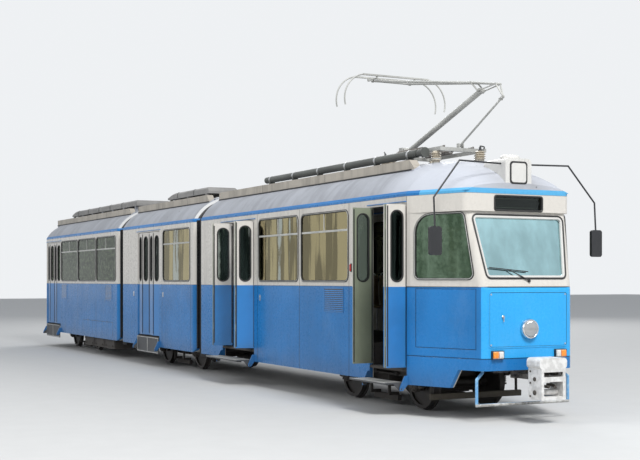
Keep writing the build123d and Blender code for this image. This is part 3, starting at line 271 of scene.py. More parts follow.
class Shader:
    """The nodes of one material, given by its name, or of the world."""

    def __init__(self, owner):
        self.owner = bpy.data.materials.new(owner) if isinstance(owner, str) else owner
        self.owner.use_nodes = True
        self.tree = self.owner.node_tree
        self.tree.nodes.clear()
        self.coordinates = None

    def node(self, kind, inputs=None, output=0, **settings):
        """Adds a node: its settings first, then the values or links of its sockets."""
        made = self.tree.nodes.new(kind)
        for key, value in settings.items():
            setattr(made, key, value)
        for key, value in (inputs or {}).items():
            if isinstance(value, Wire):
                self.tree.links.new(value.socket, made.inputs[key])
            else:
                made.inputs[key].default_value = value
        return Wire(self, made.outputs[output]) if len(made.outputs) else made

    def maths(self, operation, *values):
        """A Math node on sockets and numbers."""
        return self.node("ShaderNodeMath", dict(enumerate(values)), operation=operation)

    def place(self):
        """Object coordinates."""
        if self.coordinates is None:
            self.coordinates = self.node("ShaderNodeTexCoord", output="Object")
        return self.coordinates

    def axes(self):
        """The three object coordinates apart."""
        split = self.node("ShaderNodeSeparateXYZ", {0: self.place()})
        return (Wire(self, socket) for socket in split.socket.node.outputs)

    def stretched(self, x, y, z):
        """Object coordinates times a size on each axis."""
        return self.node("ShaderNodeVectorMath", {0: self.place(), 1: (x, y, z)}, operation="MULTIPLY")

    def noise(self, scale, detail=4.0, rough=0.55, stretch=None):
        """Noise from 0 to 1."""
        return self.node("ShaderNodeTexNoise", {
            "Vector": self.stretched(*stretch) if stretch else self.place(),
            "Scale": scale, "Detail": detail, "Roughness": rough})

    def cells(self, scale):
        """Distance from the nearest of many scattered points."""
        return self.node("ShaderNodeTexVoronoi", {"Vector": self.place(), "Scale": scale, "Randomness": 1.0})

    def between(self, value, low, high):
        """0 below low, 1 above high, and a smooth change between them."""
        return self.node("ShaderNodeMapRange", {"Value": value, "From Min": low, "From Max": high},
                         interpolation_type="SMOOTHSTEP")

    def mix(self, share, a, b):
        """A mix of two colours."""
        a, b = (colour if isinstance(colour, Wire) else (*colour, 1.0) for colour in (a, b))
        return self.node("ShaderNodeMix", {0: share, 6: a, 7: b}, output=2, data_type="RGBA")

    def fade(self, value, low, high, a, b):
        """Colour a where the value is below low, colour b where it is above high."""
        return self.mix(self.between(value, low, high), a, b)

    def bump(self, height, distance):
        """A normal that follows a height."""
        return self.node("ShaderNodeBump", {"Height": height, "Distance": distance, "Strength": 1.0})

    def principled(self, **inputs):
        """A Principled shader, its sockets named with underscores for spaces."""
        return self.node("ShaderNodeBsdfPrincipled", {
            key.replace("_", " "): (*value, 1.0) if isinstance(value, tuple) and len(value) == 3 else value
            for key, value in inputs.items()})

    def output(self, surface, kind="ShaderNodeOutputMaterial"):
        """Links the surface and gives back the finished material or world."""
        self.node(kind, {"Surface": surface})
        return self.owner

    def paint(self, **inputs):
        """The finished material with one Principled shader."""
        return self.output(self.principled(**inputs))


def shade(colour, share):
    """A colour times a number."""
    return tuple(min(1.0, part * share) for part in colour)


def plain(name, colour, rough, metal, grain, depth, coat, stain):
    """A finish of one colour with fine grain, slow changes of tone and worn gloss."""
    s = Shader(name)
    fine = s.noise(grain, 6.0, 0.6)
    slow = s.noise(grain / 14, 3.0)
    tone = s.fade(slow * 0.7 + fine * 0.3, 0.36, 0.66, shade(colour, 1 - stain), colour)
    roughness = rough + (fine - 0.5) * 0.18 + (slow - 0.5) * 0.12
    return s.paint(Base_Color=tone, Roughness=roughness, Metallic=metal, Coat_Weight=coat,
                   Normal=s.bump(fine, depth))


def joint_distance(x):
    """Distance along the tram from the nearer articulation."""
    return abs(x - JOINTS["front"]).smaller(abs(x - JOINTS["rear"]))


def outside_share(x, y, z):
    """1 on the body's outer faces and 0 on its linings, from the plan of the body."""
    inner = 0.048
    nose_taper = (HALF_WIDTH - NOSE_HALF) / (NOSE_X - CAB_X)
    rear_taper = (HALF_WIDTH - REAR_HALF) / (TAIL_X - REAR_X)
    half = HALF_WIDTH - (x - CAB_X).larger(0.0) * nose_taper - (TAIL_X - x).larger(0.0) * rear_taper
    near = JOINT_HALF + JOINT_ROUND - joint_distance(x)
    half = half - near.larger(0.0) ** 2.0 / JOINT_ROUND
    lean = (z - BELT_Z).larger(0.0)
    nose = NOSE_X - (lean * NOSE_LEAN).smaller(NOSE_X - HEADER_X)
    rear = REAR_X + lean * REAR_LEAN
    return (abs(y) > half - inner).larger(x > nose - inner).larger(x < rear + inner)


def grimy(s, z, low, high, most, colour, grime):
    """A colour under dirt that thins out upwards, with ragged edges and vertical runs."""
    runs = s.noise(1.0, 5.0, 0.6, (9.0, 9.0, 0.9))
    ragged = s.noise(3.0, 6.0, 0.65)
    return s.mix(s.between(z + runs * 0.16 + ragged * 0.22, high, low) * most, colour, grime)


def side_blue(s, paint):
    """The blue of the sides, with slow changes of tone, and the tone itself."""
    slow = s.noise(0.9, 3.0)
    return slow, s.fade(slow, 0.3, 0.7, shade(paint.blue, 0.88), shade(paint.blue, 1.10))


def roof_line(s, blue, x):
    """The stripe under the roof, paler round the cab: partly its own paint and partly painted sunlight on the
    front.
    """
    return s.mix(x > CAB_X + 0.20, blue, (0.085, 0.36, 0.62))


def seams(x, places, half):
    """1 on narrow lines at places along an axis."""
    return reduce(Wire.larger, (abs(x - place) < half for place in places))


def body_livery(paint, sizes):
    """The walls' paint: blue, window band and roof line by height, panel joints, waves and dirt."""
    s = Shader("body_livery")
    x, y, z = s.axes()
    fine = s.noise(26.0, 5.0, 0.6)
    runs = s.noise(1.0, 5.0, 0.6, (7.0, 7.0, 0.5))
    slow, side = side_blue(s, paint)
    # The front above the bumper line gets the brighter nose blue, partly its own paint and partly painted
    # sunlight; below that line it keeps the side blue
    nose = s.fade(slow, 0.3, 0.7, shade(paint.nose_blue_and_sunlight, 0.92), paint.nose_blue_and_sunlight)
    blue = s.mix((x > NOSE_X - 0.045) * (z > BUMPER_Z), side, nose)
    cream = s.fade(runs, 0.50, 0.80, paint.cream, shade(paint.cream, 0.80))
    band = s.mix((z > STRIPE_LOW) * (z < STRIPE_TOP), cream, roof_line(s, blue, x))
    colour = s.mix(z < BLUE_TOP, band, blue)
    # A dark line along the belt, and under the roof stripe a painted shadow line where a gutter would cast one
    edge = seams(z, (BLUE_TOP,), 0.004).larger(seams(z, (STRIPE_LOW,), 0.003))
    joint = seams(x, PANEL_JOINTS, 0.0075) * (z < STRIPE_LOW)
    (left, right), (foot, head) = CAB_PANEL_X, CAB_PANEL_Z
    panel = seams(x, CAB_PANEL_X, 0.005).larger(seams(z, (foot,), 0.005)).larger(seams(z, (head,), 0.004))
    panel = panel * (x > left - 0.006) * (x < right + 0.006) * (z > foot - 0.005) * (z < head + 0.004)
    joint = joint.larger(panel).larger(seams(z, (BUMPER_Z,), 0.006) * (x > CAB_X))
    low, high = SKIRT_HATCH_Z
    hatches = seams(x, SKIRT_HATCH_X, 0.009) * (z > low) * (z < high)
    lintel = seams(z, (high,), 0.006) * (x < SKIRT_HATCH_X[0]) * (x > SKIRT_HATCH_X[-1])
    joint = joint.larger(hatches.larger(lintel))
    dark_line = s.mix(z < BLUE_TOP, (0.20, 0.19, 0.17), shade(paint.blue, 0.16))
    colour = s.mix(joint.larger(edge) * 0.85, colour, dark_line)
    # Pale bluish patches on the blue: painted reflections in the dents of the panels
    painted_reflections = s.between(s.noise(1.0, 6.0, 0.7, (2.0, 2.0, 1.2)), 0.52, 0.72) * 0.05
    colour = s.mix(painted_reflections * (z < BLUE_TOP), colour, (0.42, 0.48, 0.52))
    colour = grimy(s, z, 0.40, 0.98, 0.38, colour, paint.grime)
    specks = s.between(s.noise(60.0, 3.0, 0.7), 0.74, 0.82)
    colour = s.mix(specks * 0.10, colour, paint.grime)
    colour = s.mix(outside_share(x, y, z), paint.lining, colour)
    # Near-black on the wall ends at the articulations: painted shade in the gap between the sections
    colour = s.mix(joint_distance(x) < JOINT_HALF + 0.012, colour, (0.012, 0.012, 0.013))
    waves = s.noise(1.0, 2.0, 0.5, (1.5, 1.5, 0.9))
    ripple = s.noise(1.0, 2.0, 0.5, (4.0, 4.0, 2.6))
    height = waves * (sizes.panel_waves * 6) + ripple * (sizes.panel_waves * 1.2) + fine * 0.00006
    roughness = 0.22 + (fine - 0.5) * 0.12 + runs * 0.12
    return s.paint(Base_Color=colour, Roughness=roughness, Specular_IOR_Level=0.25, Coat_Weight=0.15,
                   Coat_Roughness=0.10, Normal=s.bump(height - joint * 0.002, 1.0))


def roof_livery(paint):
    """The roofs' paint: stripe, pale top, beige fairings, grey hoods, stains and specks, with painted sunlight
    on the front dome, painted highlights on the rims beside the articulations and painted shade in their gaps.
    """
    s = Shader("roof_livery")
    x, y, z = s.axes()
    side = abs(y)
    fine = s.noise(26.0, 5.0, 0.6)
    patches = s.noise(1.3, 6.0, 0.65)
    streak = s.noise(1.0, 4.0, 0.6, (5.0, 1.1, 1.1))
    top = s.fade(patches * 0.5 + streak * 0.5, 0.36, 0.62, shade(paint.roof, 0.80), shade(paint.roof, 1.10))
    # Paler towards the front dome: painted sunlight on the dome
    top = s.fade(x, 8.0, 8.7, top, s.mix(patches, shade(paint.roof, 1.20), shade(paint.roof, 1.55)))
    blots = s.between(s.cells(1.7) + fine * 0.05, 0.085, 0.05)
    top = s.mix(s.between(s.cells(5.0), 0.080, 0.035).larger(blots) * 0.75, top, shade(paint.roof, 0.28))
    drips = s.between(s.noise(1.0, 5.0, 0.7, (14.0, 0.8, 0.8)), 0.58, 0.74)
    # Pale rims on the roof ends beside the articulations: painted highlights where the rounded ends catch the
    # light
    rims = (joint_distance(x) < JOINT_HALF + 0.060) * (x < JOINTS["front"]) * (abs(x + 1.0) > 1.5)
    top = s.mix(drips * 0.35, top, shade(paint.roof, 0.45))
    top = s.mix(rims, top, (0.60, 0.60, 0.59))
    # Near-black on the roof ends at the articulations: painted shade in the gap between the sections
    top = s.mix(joint_distance(x) < JOINT_HALF + 0.012, top, (0.012, 0.012, 0.013))
    on_fairing = (abs(side - 0.70) < 0.068) * (z > 3.247 - (side - 0.70) * 0.55)
    beige = s.fade(streak, 0.4, 0.7, paint.fairing, shade(paint.fairing, 0.72))
    beige = s.mix(seams(x, (3.60, 5.90, 0.0, -1.7, -5.4, -7.6), 0.006), beige, shade(paint.fairing, 0.15))
    upper = s.mix(on_fairing, top, beige)
    dusty = s.fade(patches, 0.35, 0.65, shade(paint.hood, 0.78), shade(paint.hood, 1.12))
    upper = s.mix((z > HOOD_LOW) * (side < 0.45) * (x < 0.1), upper, dusty)
    soot = s.between(side, 0.62, 0.2) * 0.45 * s.between(patches, 0.3, 0.7) * (z < HOOD_LOW)
    upper = s.mix(soot, upper, (0.16, 0.15, 0.14))
    colour = s.mix((z < STRIPE_TOP) * (z > STRIPE_LOW), upper, roof_line(s, side_blue(s, paint)[1], x))
    return s.paint(Base_Color=colour, Roughness=0.44 + fine * 0.16, Normal=s.bump(fine + patches, 0.002))


def pane_glass(name, tint, films, shares):
    """Clear tinted glass under a mirror film that stands for what a street reflects in it.

    The films and shares are of the side glass, the windscreen and the display."""
    s = Shader(name)
    x, y, z = s.axes()
    cloud = s.noise(1.0, 5.0, 0.6, (1.3, 1.3, 0.7))
    posts = s.noise(1.0, 2.0, 0.5, (5.0, 5.0, 0.5))
    leaves = s.noise(11.0, 4.0, 0.75)
    warm = s.fade(posts, 0.42, 0.50, films[0], shade(films[0], 0.45))
    warm = s.fade(posts * 0.6 + cloud * 0.4, 0.56, 0.60, warm, (0.62, 0.66, 0.60))
    green = s.fade(leaves, 0.45, 0.62, (0.045, 0.060, 0.040), (0.19, 0.24, 0.15))
    side = s.fade(x + cloud * 2.0, -1.2, -0.2, green, warm)
    cab = s.fade(leaves * 0.4 + posts * 0.6, 0.4, 0.6, (0.10, 0.16, 0.10), (0.24, 0.34, 0.24))
    front = (x + (z - BELT_Z) * NOSE_LEAN) > NOSE_X - 0.075
    display = front * (z > 2.60)
    screen = s.fade(cloud, 0.35, 0.65, shade(films[1], 0.72), films[1])
    tone = s.mix(display, s.mix(front, s.mix(x > CAB_X, side, cab), screen), films[2])
    share = shares[0] + front * (shares[1] - shares[0]) + display * (shares[2] - shares[1])
    facing = s.node("ShaderNodeLayerWeight", {"Blend": 0.25}, output="Fresnel")
    share = (facing * 0.5 + share + (cloud - 0.5) * 0.25).smaller(0.95).larger(0.0)
    clear = s.node("ShaderNodeBsdfTransparent", {"Color": (*tint, 1.0)})
    shine = s.principled(Base_Color=tone, Metallic=1.0, Roughness=0.05)
    return s.output(s.node("ShaderNodeMixShader", {0: share, 1: clear, 2: shine}))


def lens(name, colour, glow, metal=0.0):
    """A moulded lamp glass with fine upright flutes."""
    s = Shader(name)
    x, y, z = s.axes()
    return s.paint(Base_Color=colour, Roughness=0.12, Metallic=metal, Coat_Weight=0.8, Coat_Roughness=0.03,
                   Emission_Color=colour, Emission_Strength=glow,
                   Normal=s.bump(s.maths("SINE", y * 520.0), 0.0008))


def coupler_paint():
    """The couplers' white heads, and their dark bars and springs behind them."""
    s = Shader("coupler_paint")
    x, y, z = s.axes()
    worn = s.noise(14.0, 6.0, 0.6)
    head = s.fade(worn, 0.40, 0.66, (0.56, 0.55, 0.53), (0.74, 0.73, 0.71))
    bar = s.fade(worn, 0.40, 0.60, (0.035, 0.034, 0.034), (0.14, 0.13, 0.12))
    at_head = (x > COUPLER_HEADS["front"] - 0.006).larger(x < -COUPLER_HEADS["rear"] + 0.006)
    return s.paint(Base_Color=s.mix(at_head, bar, head), Roughness=0.42 + worn * 0.2,
                   Normal=s.bump(worn, 0.001))


def hoop_paint():
    """The lifeguard's blue legs and its scraped pale lower bar."""
    s = Shader("hoop_paint")
    x, y, z = s.axes()
    worn = s.noise(18.0, 6.0, 0.6)
    legs = s.fade(worn, 0.45, 0.65, (0.13, 0.34, 0.60), (0.30, 0.50, 0.66))
    bar = s.fade(worn, 0.40, 0.65, (0.50, 0.50, 0.48), (0.24, 0.23, 0.21))
    return s.paint(Base_Color=s.mix(z < 0.225, legs, bar), Roughness=0.45 + worn * 0.2)


def unit(ways):
    """Directions of length one."""
    ways = np.asarray(ways, float)
    return ways / np.linalg.norm(ways, axis=-1, keepdims=True)


# Directions from a leaf's outer face to its inner one, as it stands at rest
LEAF_WAYS = {
    "door_1": {"a": (-1, 0), "b": (1, 0), "c": (1, 0)},
    "door_2": {"a": (-0.9, 0.5), "b": (0.9, 0.5), "c": (0.9, 0.5), "d": (-0.9, 0.5)},
    "door_3": dict.fromkeys("abcd", (0, 1)),
    "door_4": dict.fromkeys("abcd", (0, 1)),
}
INSIDE = {f"{door}_leaf_{letter}": unit(way)
          for door, ways in LEAF_WAYS.items() for letter, way in ways.items()}

# Cosine from which a facet counts as a part of a leaf's face
FLAT = 0.9999


def leaf_frame(name):
    """A door leaf's own axes, from its mesh: along it and inwards, its two depths and its two edges.

    Inwards is the mean normal of its inner face, each facet weighted by its area."""
    mesh = NODES[name].data
    area = np.array([facet.area for facet in mesh.polygons])
    normal = np.array([facet.normal for facet in mesh.polygons])[:, :2]
    centre = np.array([facet.center for facet in mesh.polygons])[:, :2]
    inward = INSIDE[name]
    for least in (0.90, 0.99, FLAT):
        facing = normal @ inward > least
        inward = unit((normal[facing] * area[facing, None]).sum(0))
    along = np.array((-inward[1], inward[0]))
    depth, share = centre @ inward, normal @ inward
    outer, inner = (float(np.median(np.repeat(depth[part], np.ceil(area[part] * 2000).astype(int))))
                    for part in (share < -FLAT, share > FLAT))
    flat = [facet for facet, part in zip(mesh.polygons, share) if part > FLAT]
    corners = sorted({corner for facet in flat for corner in facet.vertices})
    edges = np.array([mesh.vertices[corner].co for corner in corners])[:, :2] @ along
    return along, inward, (outer, inner), (edges.min(), edges.max())


def leaf_livery(name, paint):
    """A door leaf's paint: body colours on its outer face, olive grey on its inner one."""
    inward, depths = leaf_frame(name)[1:3]
    s = Shader(f"{name}_paint")
    x, y, z = s.axes()
    depth = x * float(inward[0]) + y * float(inward[1])
    inner = depth > float(depths[0] + (depths[1] - depths[0]) * 0.55)
    slow = s.noise(1.6, 3.0)
    fine = s.noise(30.0, 5.0, 0.6)
    blue = s.fade(slow, 0.3, 0.7, shade(paint.blue, 0.9), shade(paint.blue, 1.12))
    pale = s.fade(fine, 0.3, 0.8, shade(paint.cream, 0.94), paint.cream)
    olive = s.fade(slow, 0.3, 0.7, shade(paint.leaf_inside, 0.85), paint.leaf_inside)
    colour = s.mix(inner, s.mix(z < BLUE_TOP, pale, blue), olive)
    colour = grimy(s, z, 0.55, 0.95, 0.55, colour, paint.grime)
    return s.paint(Base_Color=colour, Roughness=0.27 + fine * 0.14, Coat_Weight=0.3, Coat_Roughness=0.15,
                   Normal=s.bump(fine, 0.0002))


# Plain finishes: finish, material, colour, roughness, metal, grain, relief, coat, stain
PLAIN_FINISHES = (
    ("mirror", "mirror_face", (0.80, 0.82, 0.83), 0.04, 1.0, 8, 0.0, 0.0, 0.05),
    ("rubber", "black_rubber", (0.018, 0.018, 0.018), 0.55, 0.0, 60, 0.0003, 0.0, 0.25),
    ("bellows", "bellows_cloth", (0.020, 0.020, 0.021), 0.75, 0.0, 90, 0.0010, 0.0, 0.35),
    ("undergear", "undergear_grime", (0.060, 0.052, 0.045), 0.75, 0.0, 18, 0.002, 0.0, 0.5),
    ("steel", "worn_steel", (0.30, 0.28, 0.26), 0.42, 0.9, 30, 0.0004, 0.0, 0.5),
    ("aluminium", "brushed_aluminium", (0.62, 0.63, 0.64), 0.32, 0.9, 50, 0.0004, 0.0, 0.25),
    ("light_line", "worn_bright_strip", (0.56, 0.56, 0.53), 0.38, 0.3, 60, 0.0004, 0.0, 0.3),
    ("step", "step_tread", (0.075, 0.078, 0.082), 0.6, 0.0, 45, 0.001, 0.0, 0.25),
    ("seat", "seat_laminate", (0.40, 0.30, 0.17), 0.36, 0.0, 12, 0.0004, 0.2, 0.25),
    ("desk", "desk_grey", (0.11, 0.115, 0.12), 0.5, 0.0, 30, 0.0004, 0.0, 0.25),
    ("lamp", "lamp_chrome", (0.72, 0.72, 0.72), 0.12, 1.0, 20, 0.0004, 0.0, 0.1),
    ("white", "white_enamel", (0.62, 0.61, 0.58), 0.32, 0.0, 25, 0.0004, 0.3, 0.12),
    ("tube", "conduit_grey", (0.100, 0.107, 0.098), 0.55, 0.0, 20, 0.0004, 0.0, 0.35),
    ("dark", "dark_enamel", (0.045, 0.047, 0.050), 0.4, 0.0, 30, 0.0004, 0.0, 0.25),
    ("black", "black_enamel", (0.014, 0.014, 0.015), 0.3, 0.0, 30, 0.0004, 0.3, 0.25),
    # The wheels are rust-dark and darkened further: painted shade from under the tram
    ("wheel", "wheel_rust", (0.050, 0.044, 0.040), 0.55, 0.3, 25, 0.0004, 0.0, 0.5),
    ("mirror_shell", "mirror_shell", (0.022, 0.023, 0.026), 0.5, 0.0, 40, 0.0004, 0.0, 0.25),
    ("board", "weathered_board", (0.115, 0.098, 0.072), 0.7, 0.0, 22, 0.001, 0.0, 0.4),
    ("collector", "collector_grey", (0.50, 0.50, 0.47), 0.42, 0.15, 30, 0.0004, 0.0, 0.3),
    ("ceramic", "insulator_glaze", (0.50, 0.44, 0.34), 0.25, 0.0, 20, 0.0004, 0.4, 0.3),
    ("diffuser", "lamp_diffuser", (0.75, 0.75, 0.70), 0.4, 0.0, 10, 0.0004, 0.0, 0.05),
)

# Every finish by name, filled when the construction is dressed
FINISH = {}


def make_finishes(paint, sizes):
    """Every shared finish, by name."""
    street = ((0.64, 0.55, 0.30), (0.60, 0.92, 0.98), (0.10, 0.11, 0.11))
    shadow = ((0.05, 0.07, 0.065), *street[1:])
    for finish, *values in PLAIN_FINISHES:
        FINISH[finish] = plain(*values)
    FINISH.update(
        body=body_livery(paint, sizes), roof=roof_livery(paint), hoop=hoop_paint(), coupler=coupler_paint(),
        glass=pane_glass("window_glass", (0.66, 0.70, 0.66), street, (0.12, 0.78, 0.25)),
        flush_glass=pane_glass("flush_glass", (0.80, 0.83, 0.80), street, (0.50, 0.50, 0.30)),
        leaf_glass=pane_glass("leaf_glass", (0.55, 0.62, 0.58), shadow, (0.25, 0.25, 0.25)),
        blue=plain("fitting_blue", paint.blue, 0.3, 0.0, 26, 0.0004, 0.3, 0.15),
        headlamp=lens("headlamp_glass", (0.42, 0.43, 0.43), 0.0, 0.6),
        orange=lens("orange_glass", (0.85, 0.25, 0.02), 0.15),
        clear=lens("clear_glass", (0.70, 0.70, 0.68), 0.0),
        red=lens("red_glass", (0.50, 0.015, 0.012), 0.05))


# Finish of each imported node, by a part of its name
DRESS = (
    ("_side_walls", "body"), ("cab_front", "body"), ("rear_end", "body"), ("_roof", "roof"),
    ("_underframe", "undergear"), ("_glazing", "glass"), ("_seats", "seat"), ("driver_desk", "desk"),
    ("front_lamps", "lamp"), ("number_box", "white"), ("mirrors", "mirror_shell"), ("lifeguard", "hoop"),
    ("_coupler", "coupler"), ("_gaiter", "rubber"), ("_bogie_frame", "undergear"), ("_wheelset", "wheel"),
    ("_step", "step"), ("pantograph", "collector"), ("roof_tube", "tube"),
)

# Shapes that wait to be made into pieces
WAITING = []


class Shape:
    """Grids of points gathered into one mesh, which waits to become a piece."""

    def __init__(self, name, finish, body, slot, sharp=38.0):
        self.name = name
        self.finish = finish
        self.body = body
        self.slot = slot
        self.sharp = sharp
        self.points = []
        self.faces = []
        self.count = 0
        WAITING.append(self)

    def grid(self, points, around=True, along=False, caps=False):
        """Quads between neighbours of points[i, j], closed over j where around and over i where along."""
        rows, columns = points.shape[:2]
        index = np.arange(rows * columns).reshape(rows, columns) + self.count
        low, high = (index, np.roll(index, -1, 0)) if along else (index[:-1], index[1:])
        if around:
            quads = np.stack((low, np.roll(low, -1, 1), np.roll(high, -1, 1), high), -1)
        else:
            quads = np.stack((low[:, :-1], low[:, 1:], high[:, 1:], high[:, :-1]), -1)
        self.faces += quads.reshape(-1, 4).tolist()
        if caps:
            self.faces += [index[0][::-1].tolist(), index[-1].tolist()]
        self.points.append(points.reshape(-1, 3))
        self.count += rows * columns

    def made(self):
        """The finished piece, riding on its body: doubles merged, faces turned outwards, soft shading."""
        WAITING.remove(self)
        mesh = bpy.data.meshes.new(self.name)
        mesh.from_pydata(np.concatenate(self.points).tolist(), [], self.faces)
        form = bmesh.new()
        form.from_mesh(mesh)
        bmesh.ops.remove_doubles(form, verts=form.verts, dist=1e-5)
        bmesh.ops.recalc_face_normals(form, faces=form.faces)
        form.to_mesh(mesh)
        form.free()
        mesh.shade_smooth()
        mesh.set_sharp_from_angle(angle=math.radians(self.sharp))
        piece = bpy.data.objects.new(self.name, mesh)
        bpy.context.scene.collection.objects.link(piece)
        mesh.materials.append(FINISH[self.finish])
        if self.body:
            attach(piece, self.body)
        return piece


def all_made():
    """Makes every waiting shape that has points into its piece."""
    for shape in [shape for shape in WAITING if shape.count]:
        shape.made()
    WAITING.clear()
    return {"FINISHED"}


def mm(*sizes):
    """Rows of two sizes, such as a radius and a height, given in millimetres."""
    return np.reshape(sizes, (-1, 2)) * 0.001


def rounded(corners, radius, steps=6):
    """A closed outline with round corners: at each corner the arc c + r (sin((1-k)t) a + sin(kt) b) / sin t
    between its two tangent points, where t is the corner's turn."""
    p = np.asarray(corners, float)
    a, b = unit(np.roll(p, 1, 0) - p), unit(np.roll(p, -1, 0) - p)
    inside = np.arccos(np.clip((a * b).sum(1), -1, 1))[:, None]
    r = np.broadcast_to(radius, len(p)).astype(float)[:, None]
    centre = p + unit(a + b) * r / np.sin(inside / 2)
    reach = r / np.tan(inside / 2)
    first, last = (p + a * reach - centre)[:, None], (p + b * reach - centre)[:, None]
    turn = (math.pi - inside)[:, None]
    k = np.linspace(0, 1, steps)[None, :, None]
    arcs = centre[:, None] + (np.sin((1 - k) * turn) * first + np.sin(k * turn) * last) / np.sin(turn)
    return arcs.reshape(-1, 2)


def rectangle(u0, u1, v0, v1, radius=0.0):
    """A rectangle's outline, with round corners where there is a radius."""
    corners = ((u0, v0), (u1, v0), (u1, v1), (u0, v1))
    return rounded(corners, radius) if radius else np.array(corners, float)


def grown(outline, amount):
    """A closed outline moved outwards along its normals: p + a n, n square to the line through neighbours.

    At a sharp corner the step is longer, so that both sides move by the amount."""
    before, after = unit(outline - np.roll(outline, 1, 0)), unit(np.roll(outline, -1, 0) - outline)
    way = unit(before + after)
    normal = np.stack((way[:, 1], -way[:, 0]), 1)
    square = np.stack((before[:, 1], -before[:, 0]), 1)
    return outline + normal * amount / np.clip((normal * square).sum(1), 0.3, 1)[:, None]


# The tram's own directions
AHEAD = (1, 0, 0)
LEFT = (0, 1, 0)
UP = (0, 0, 1)


def side_face(side, depth=0.0):
    """A side wall's plane: origin, along the tram, up and outwards."""
    return (0, side * (HALF_WIDTH - depth), 0), AHEAD, UP, (0, side, 0)


def end_face(x, way=1):
    """An upright plane across the tram, facing forwards or backwards."""
    return (x, 0, 0), LEFT, UP, (way, 0, 0)


# Faces of the windscreen, the rear wall, anything level and the ceiling
LEAN_FACE = ((NOSE_X + NOSE_LEAN * BELT_Z, 0, 0), LEFT, (-NOSE_LEAN, 0, 1), (0.9710, 0, 0.2390))
REAR_FACE = ((REAR_X - REAR_LEAN * BELT_Z, 0, 0), LEFT, (REAR_LEAN, 0, 1), (-0.9960, 0, 0.0890))
LEVEL_FACE = ((0, 0, 0), AHEAD, LEFT, UP)
CEILING_FACE = ((0, 0, 0), AHEAD, LEFT, (0, 0, -1))


def cab_face(side):
    """The tapering side of the cab, its first axis counted in X from the tram's origin."""
    slope = 0.3874
    return (0, side * (HALF_WIDTH + slope * CAB_X), 0), (1, -side * slope, 0), UP, unit((slope, side, 0))


def on(face, u, v, h):
    """Points on a face: origin + u across + v up + h out."""
    origin, across, up, out = (np.asarray(axis, float) for axis in face)
    u, v, h = np.broadcast_arrays(*(np.asarray(part, float) for part in (u, v, h)))
    return origin + u[..., None] * across + v[..., None] * up + h[..., None] * out


def stacked(face, rows):
    """Points of closed outlines, each at its own height over a face."""
    return np.stack([on(face, *outline.T, height) for outline, height in rows])


def ring(shape, face, outline, profile):
    """A closed section carried round a closed outline: each row of the profile is how far out of the
    outline and how high over the face it runs."""
    shape.grid(stacked(face, [(grown(outline, offset), height) for offset, height in profile]), along=True)


def slab(shape, face, outline, low, high, edge=0.0):
    """A plate with a slanted edge: the outline at its foot, again below its top, and drawn in at its top."""
    rows = [(outline, low), (outline, high - edge)]
    if edge:
        rows.append((grown(outline, -edge), high))
    shape.grid(stacked(face, rows), caps=True)


def box_bar(shape, low, high, edge=0.003):
    """A bar with slanted edges between two corners."""
    (x0, y0, z0), (x1, y1, z1) = low, high
    wide = rectangle(x0, x1, y0, y1)
    slim = grown(wide, -edge)
    rows = ((slim, z0), (wide, z0 + edge), (wide, z1 - edge), (slim, z1))
    shape.grid(stacked(LEVEL_FACE, rows), caps=True)


def bend(points, radius, steps=6):
    """A path with eased corners: (1-k)^2 (p + t a) + 2k(1-k) p + k^2 (p + t b) at each corner p."""
    p = np.asarray(points, float)
    back, onward = p[:-2] - p[1:-1], p[2:] - p[1:-1]
    room = np.minimum(np.linalg.norm(back, axis=1), np.linalg.norm(onward, axis=1)) * 0.49
    reach = np.minimum(radius, room)[:, None]
    corner = p[1:-1][:, None]
    first, last = (p[1:-1] + reach * unit(back))[:, None], (p[1:-1] + reach * unit(onward))[:, None]
    k = np.linspace(0, 1, steps)[None, :, None]
    arcs = (1 - k) ** 2 * first + 2 * k * (1 - k) * corner + k ** 2 * last
    return np.concatenate((p[:1], arcs.reshape(-1, 3), p[-1:]))


def circle(axis, way, sides):
    """Points of a circle of radius one, square to each axis: cos t e + sin t f, with e square to way too."""
    e = unit(np.cross(axis, way))
    f = np.cross(axis, e)
    t = np.linspace(0, 2 * math.pi, sides, endpoint=False)[:, None]
    return np.cos(t) * e[..., None, :] + np.sin(t) * f[..., None, :]


def tube(shape, path, radius, sides=10, way=None):
    """A round bar along a path: p + r times a circle square to the path.

    The circle starts square to the given direction, or to the plane in which the path mostly lies."""
    path = np.asarray(path, float)
    if way is None:
        way = np.linalg.svd(path - path.mean(0))[2][2]
    r = np.broadcast_to(radius, len(path))[:, None, None]
    shape.grid(path[:, None] + r * circle(unit(np.gradient(path, axis=0)), way, sides), caps=True)


# A direction along no axis, from which the circles of turned forms and coils start
ASKEW = (0.31, 0.57, 0.76)


def lathe(shape, origin, axis, profile, sides=24, closed=False):
    """A turned form: o + z a + r times a circle for rows (r, z) along the axis a.

    A closed profile makes a ring; an open one gets a disc at each end."""
    axis = unit(axis)
    r, z = (column[:, None, None] for column in np.asarray(profile, float).T)
    points = np.asarray(origin, float) + z * axis + r * circle(axis, ASKEW, sides)
    shape.grid(points, along=closed, caps=not closed)


def coil(shape, start, end, radius, wire, turns):
    """A coil spring: s + k (e - s) + r (cos 2pi nk a + sin 2pi nk b), carried by a round wire."""
    start, end = np.asarray(start, float), np.asarray(end, float)
    axis = unit(end - start)
    a = unit(np.cross(axis, ASKEW))
    b = np.cross(axis, a)
    k = np.linspace(0, 1, int(turns * 12) + 1)[:, None]
    t = 2 * math.pi * turns * k
    tube(shape, start + k * (end - start) + radius * (np.cos(t) * a + np.sin(t) * b), wire, 6, axis)


def arch_height(y):
    """Height of the roof at a distance from the centreline: a flat crown, then the round shoulder."""
    y = np.abs(y)
    past = np.maximum(y - SHOULDER[0], 0)
    shoulder = SHOULDER[1] - 0.2332 * past - 1.761 * past ** 2
    return np.where(y < SHOULDER[0], CROWN_Z - 0.2857 * y ** 2, shoulder)


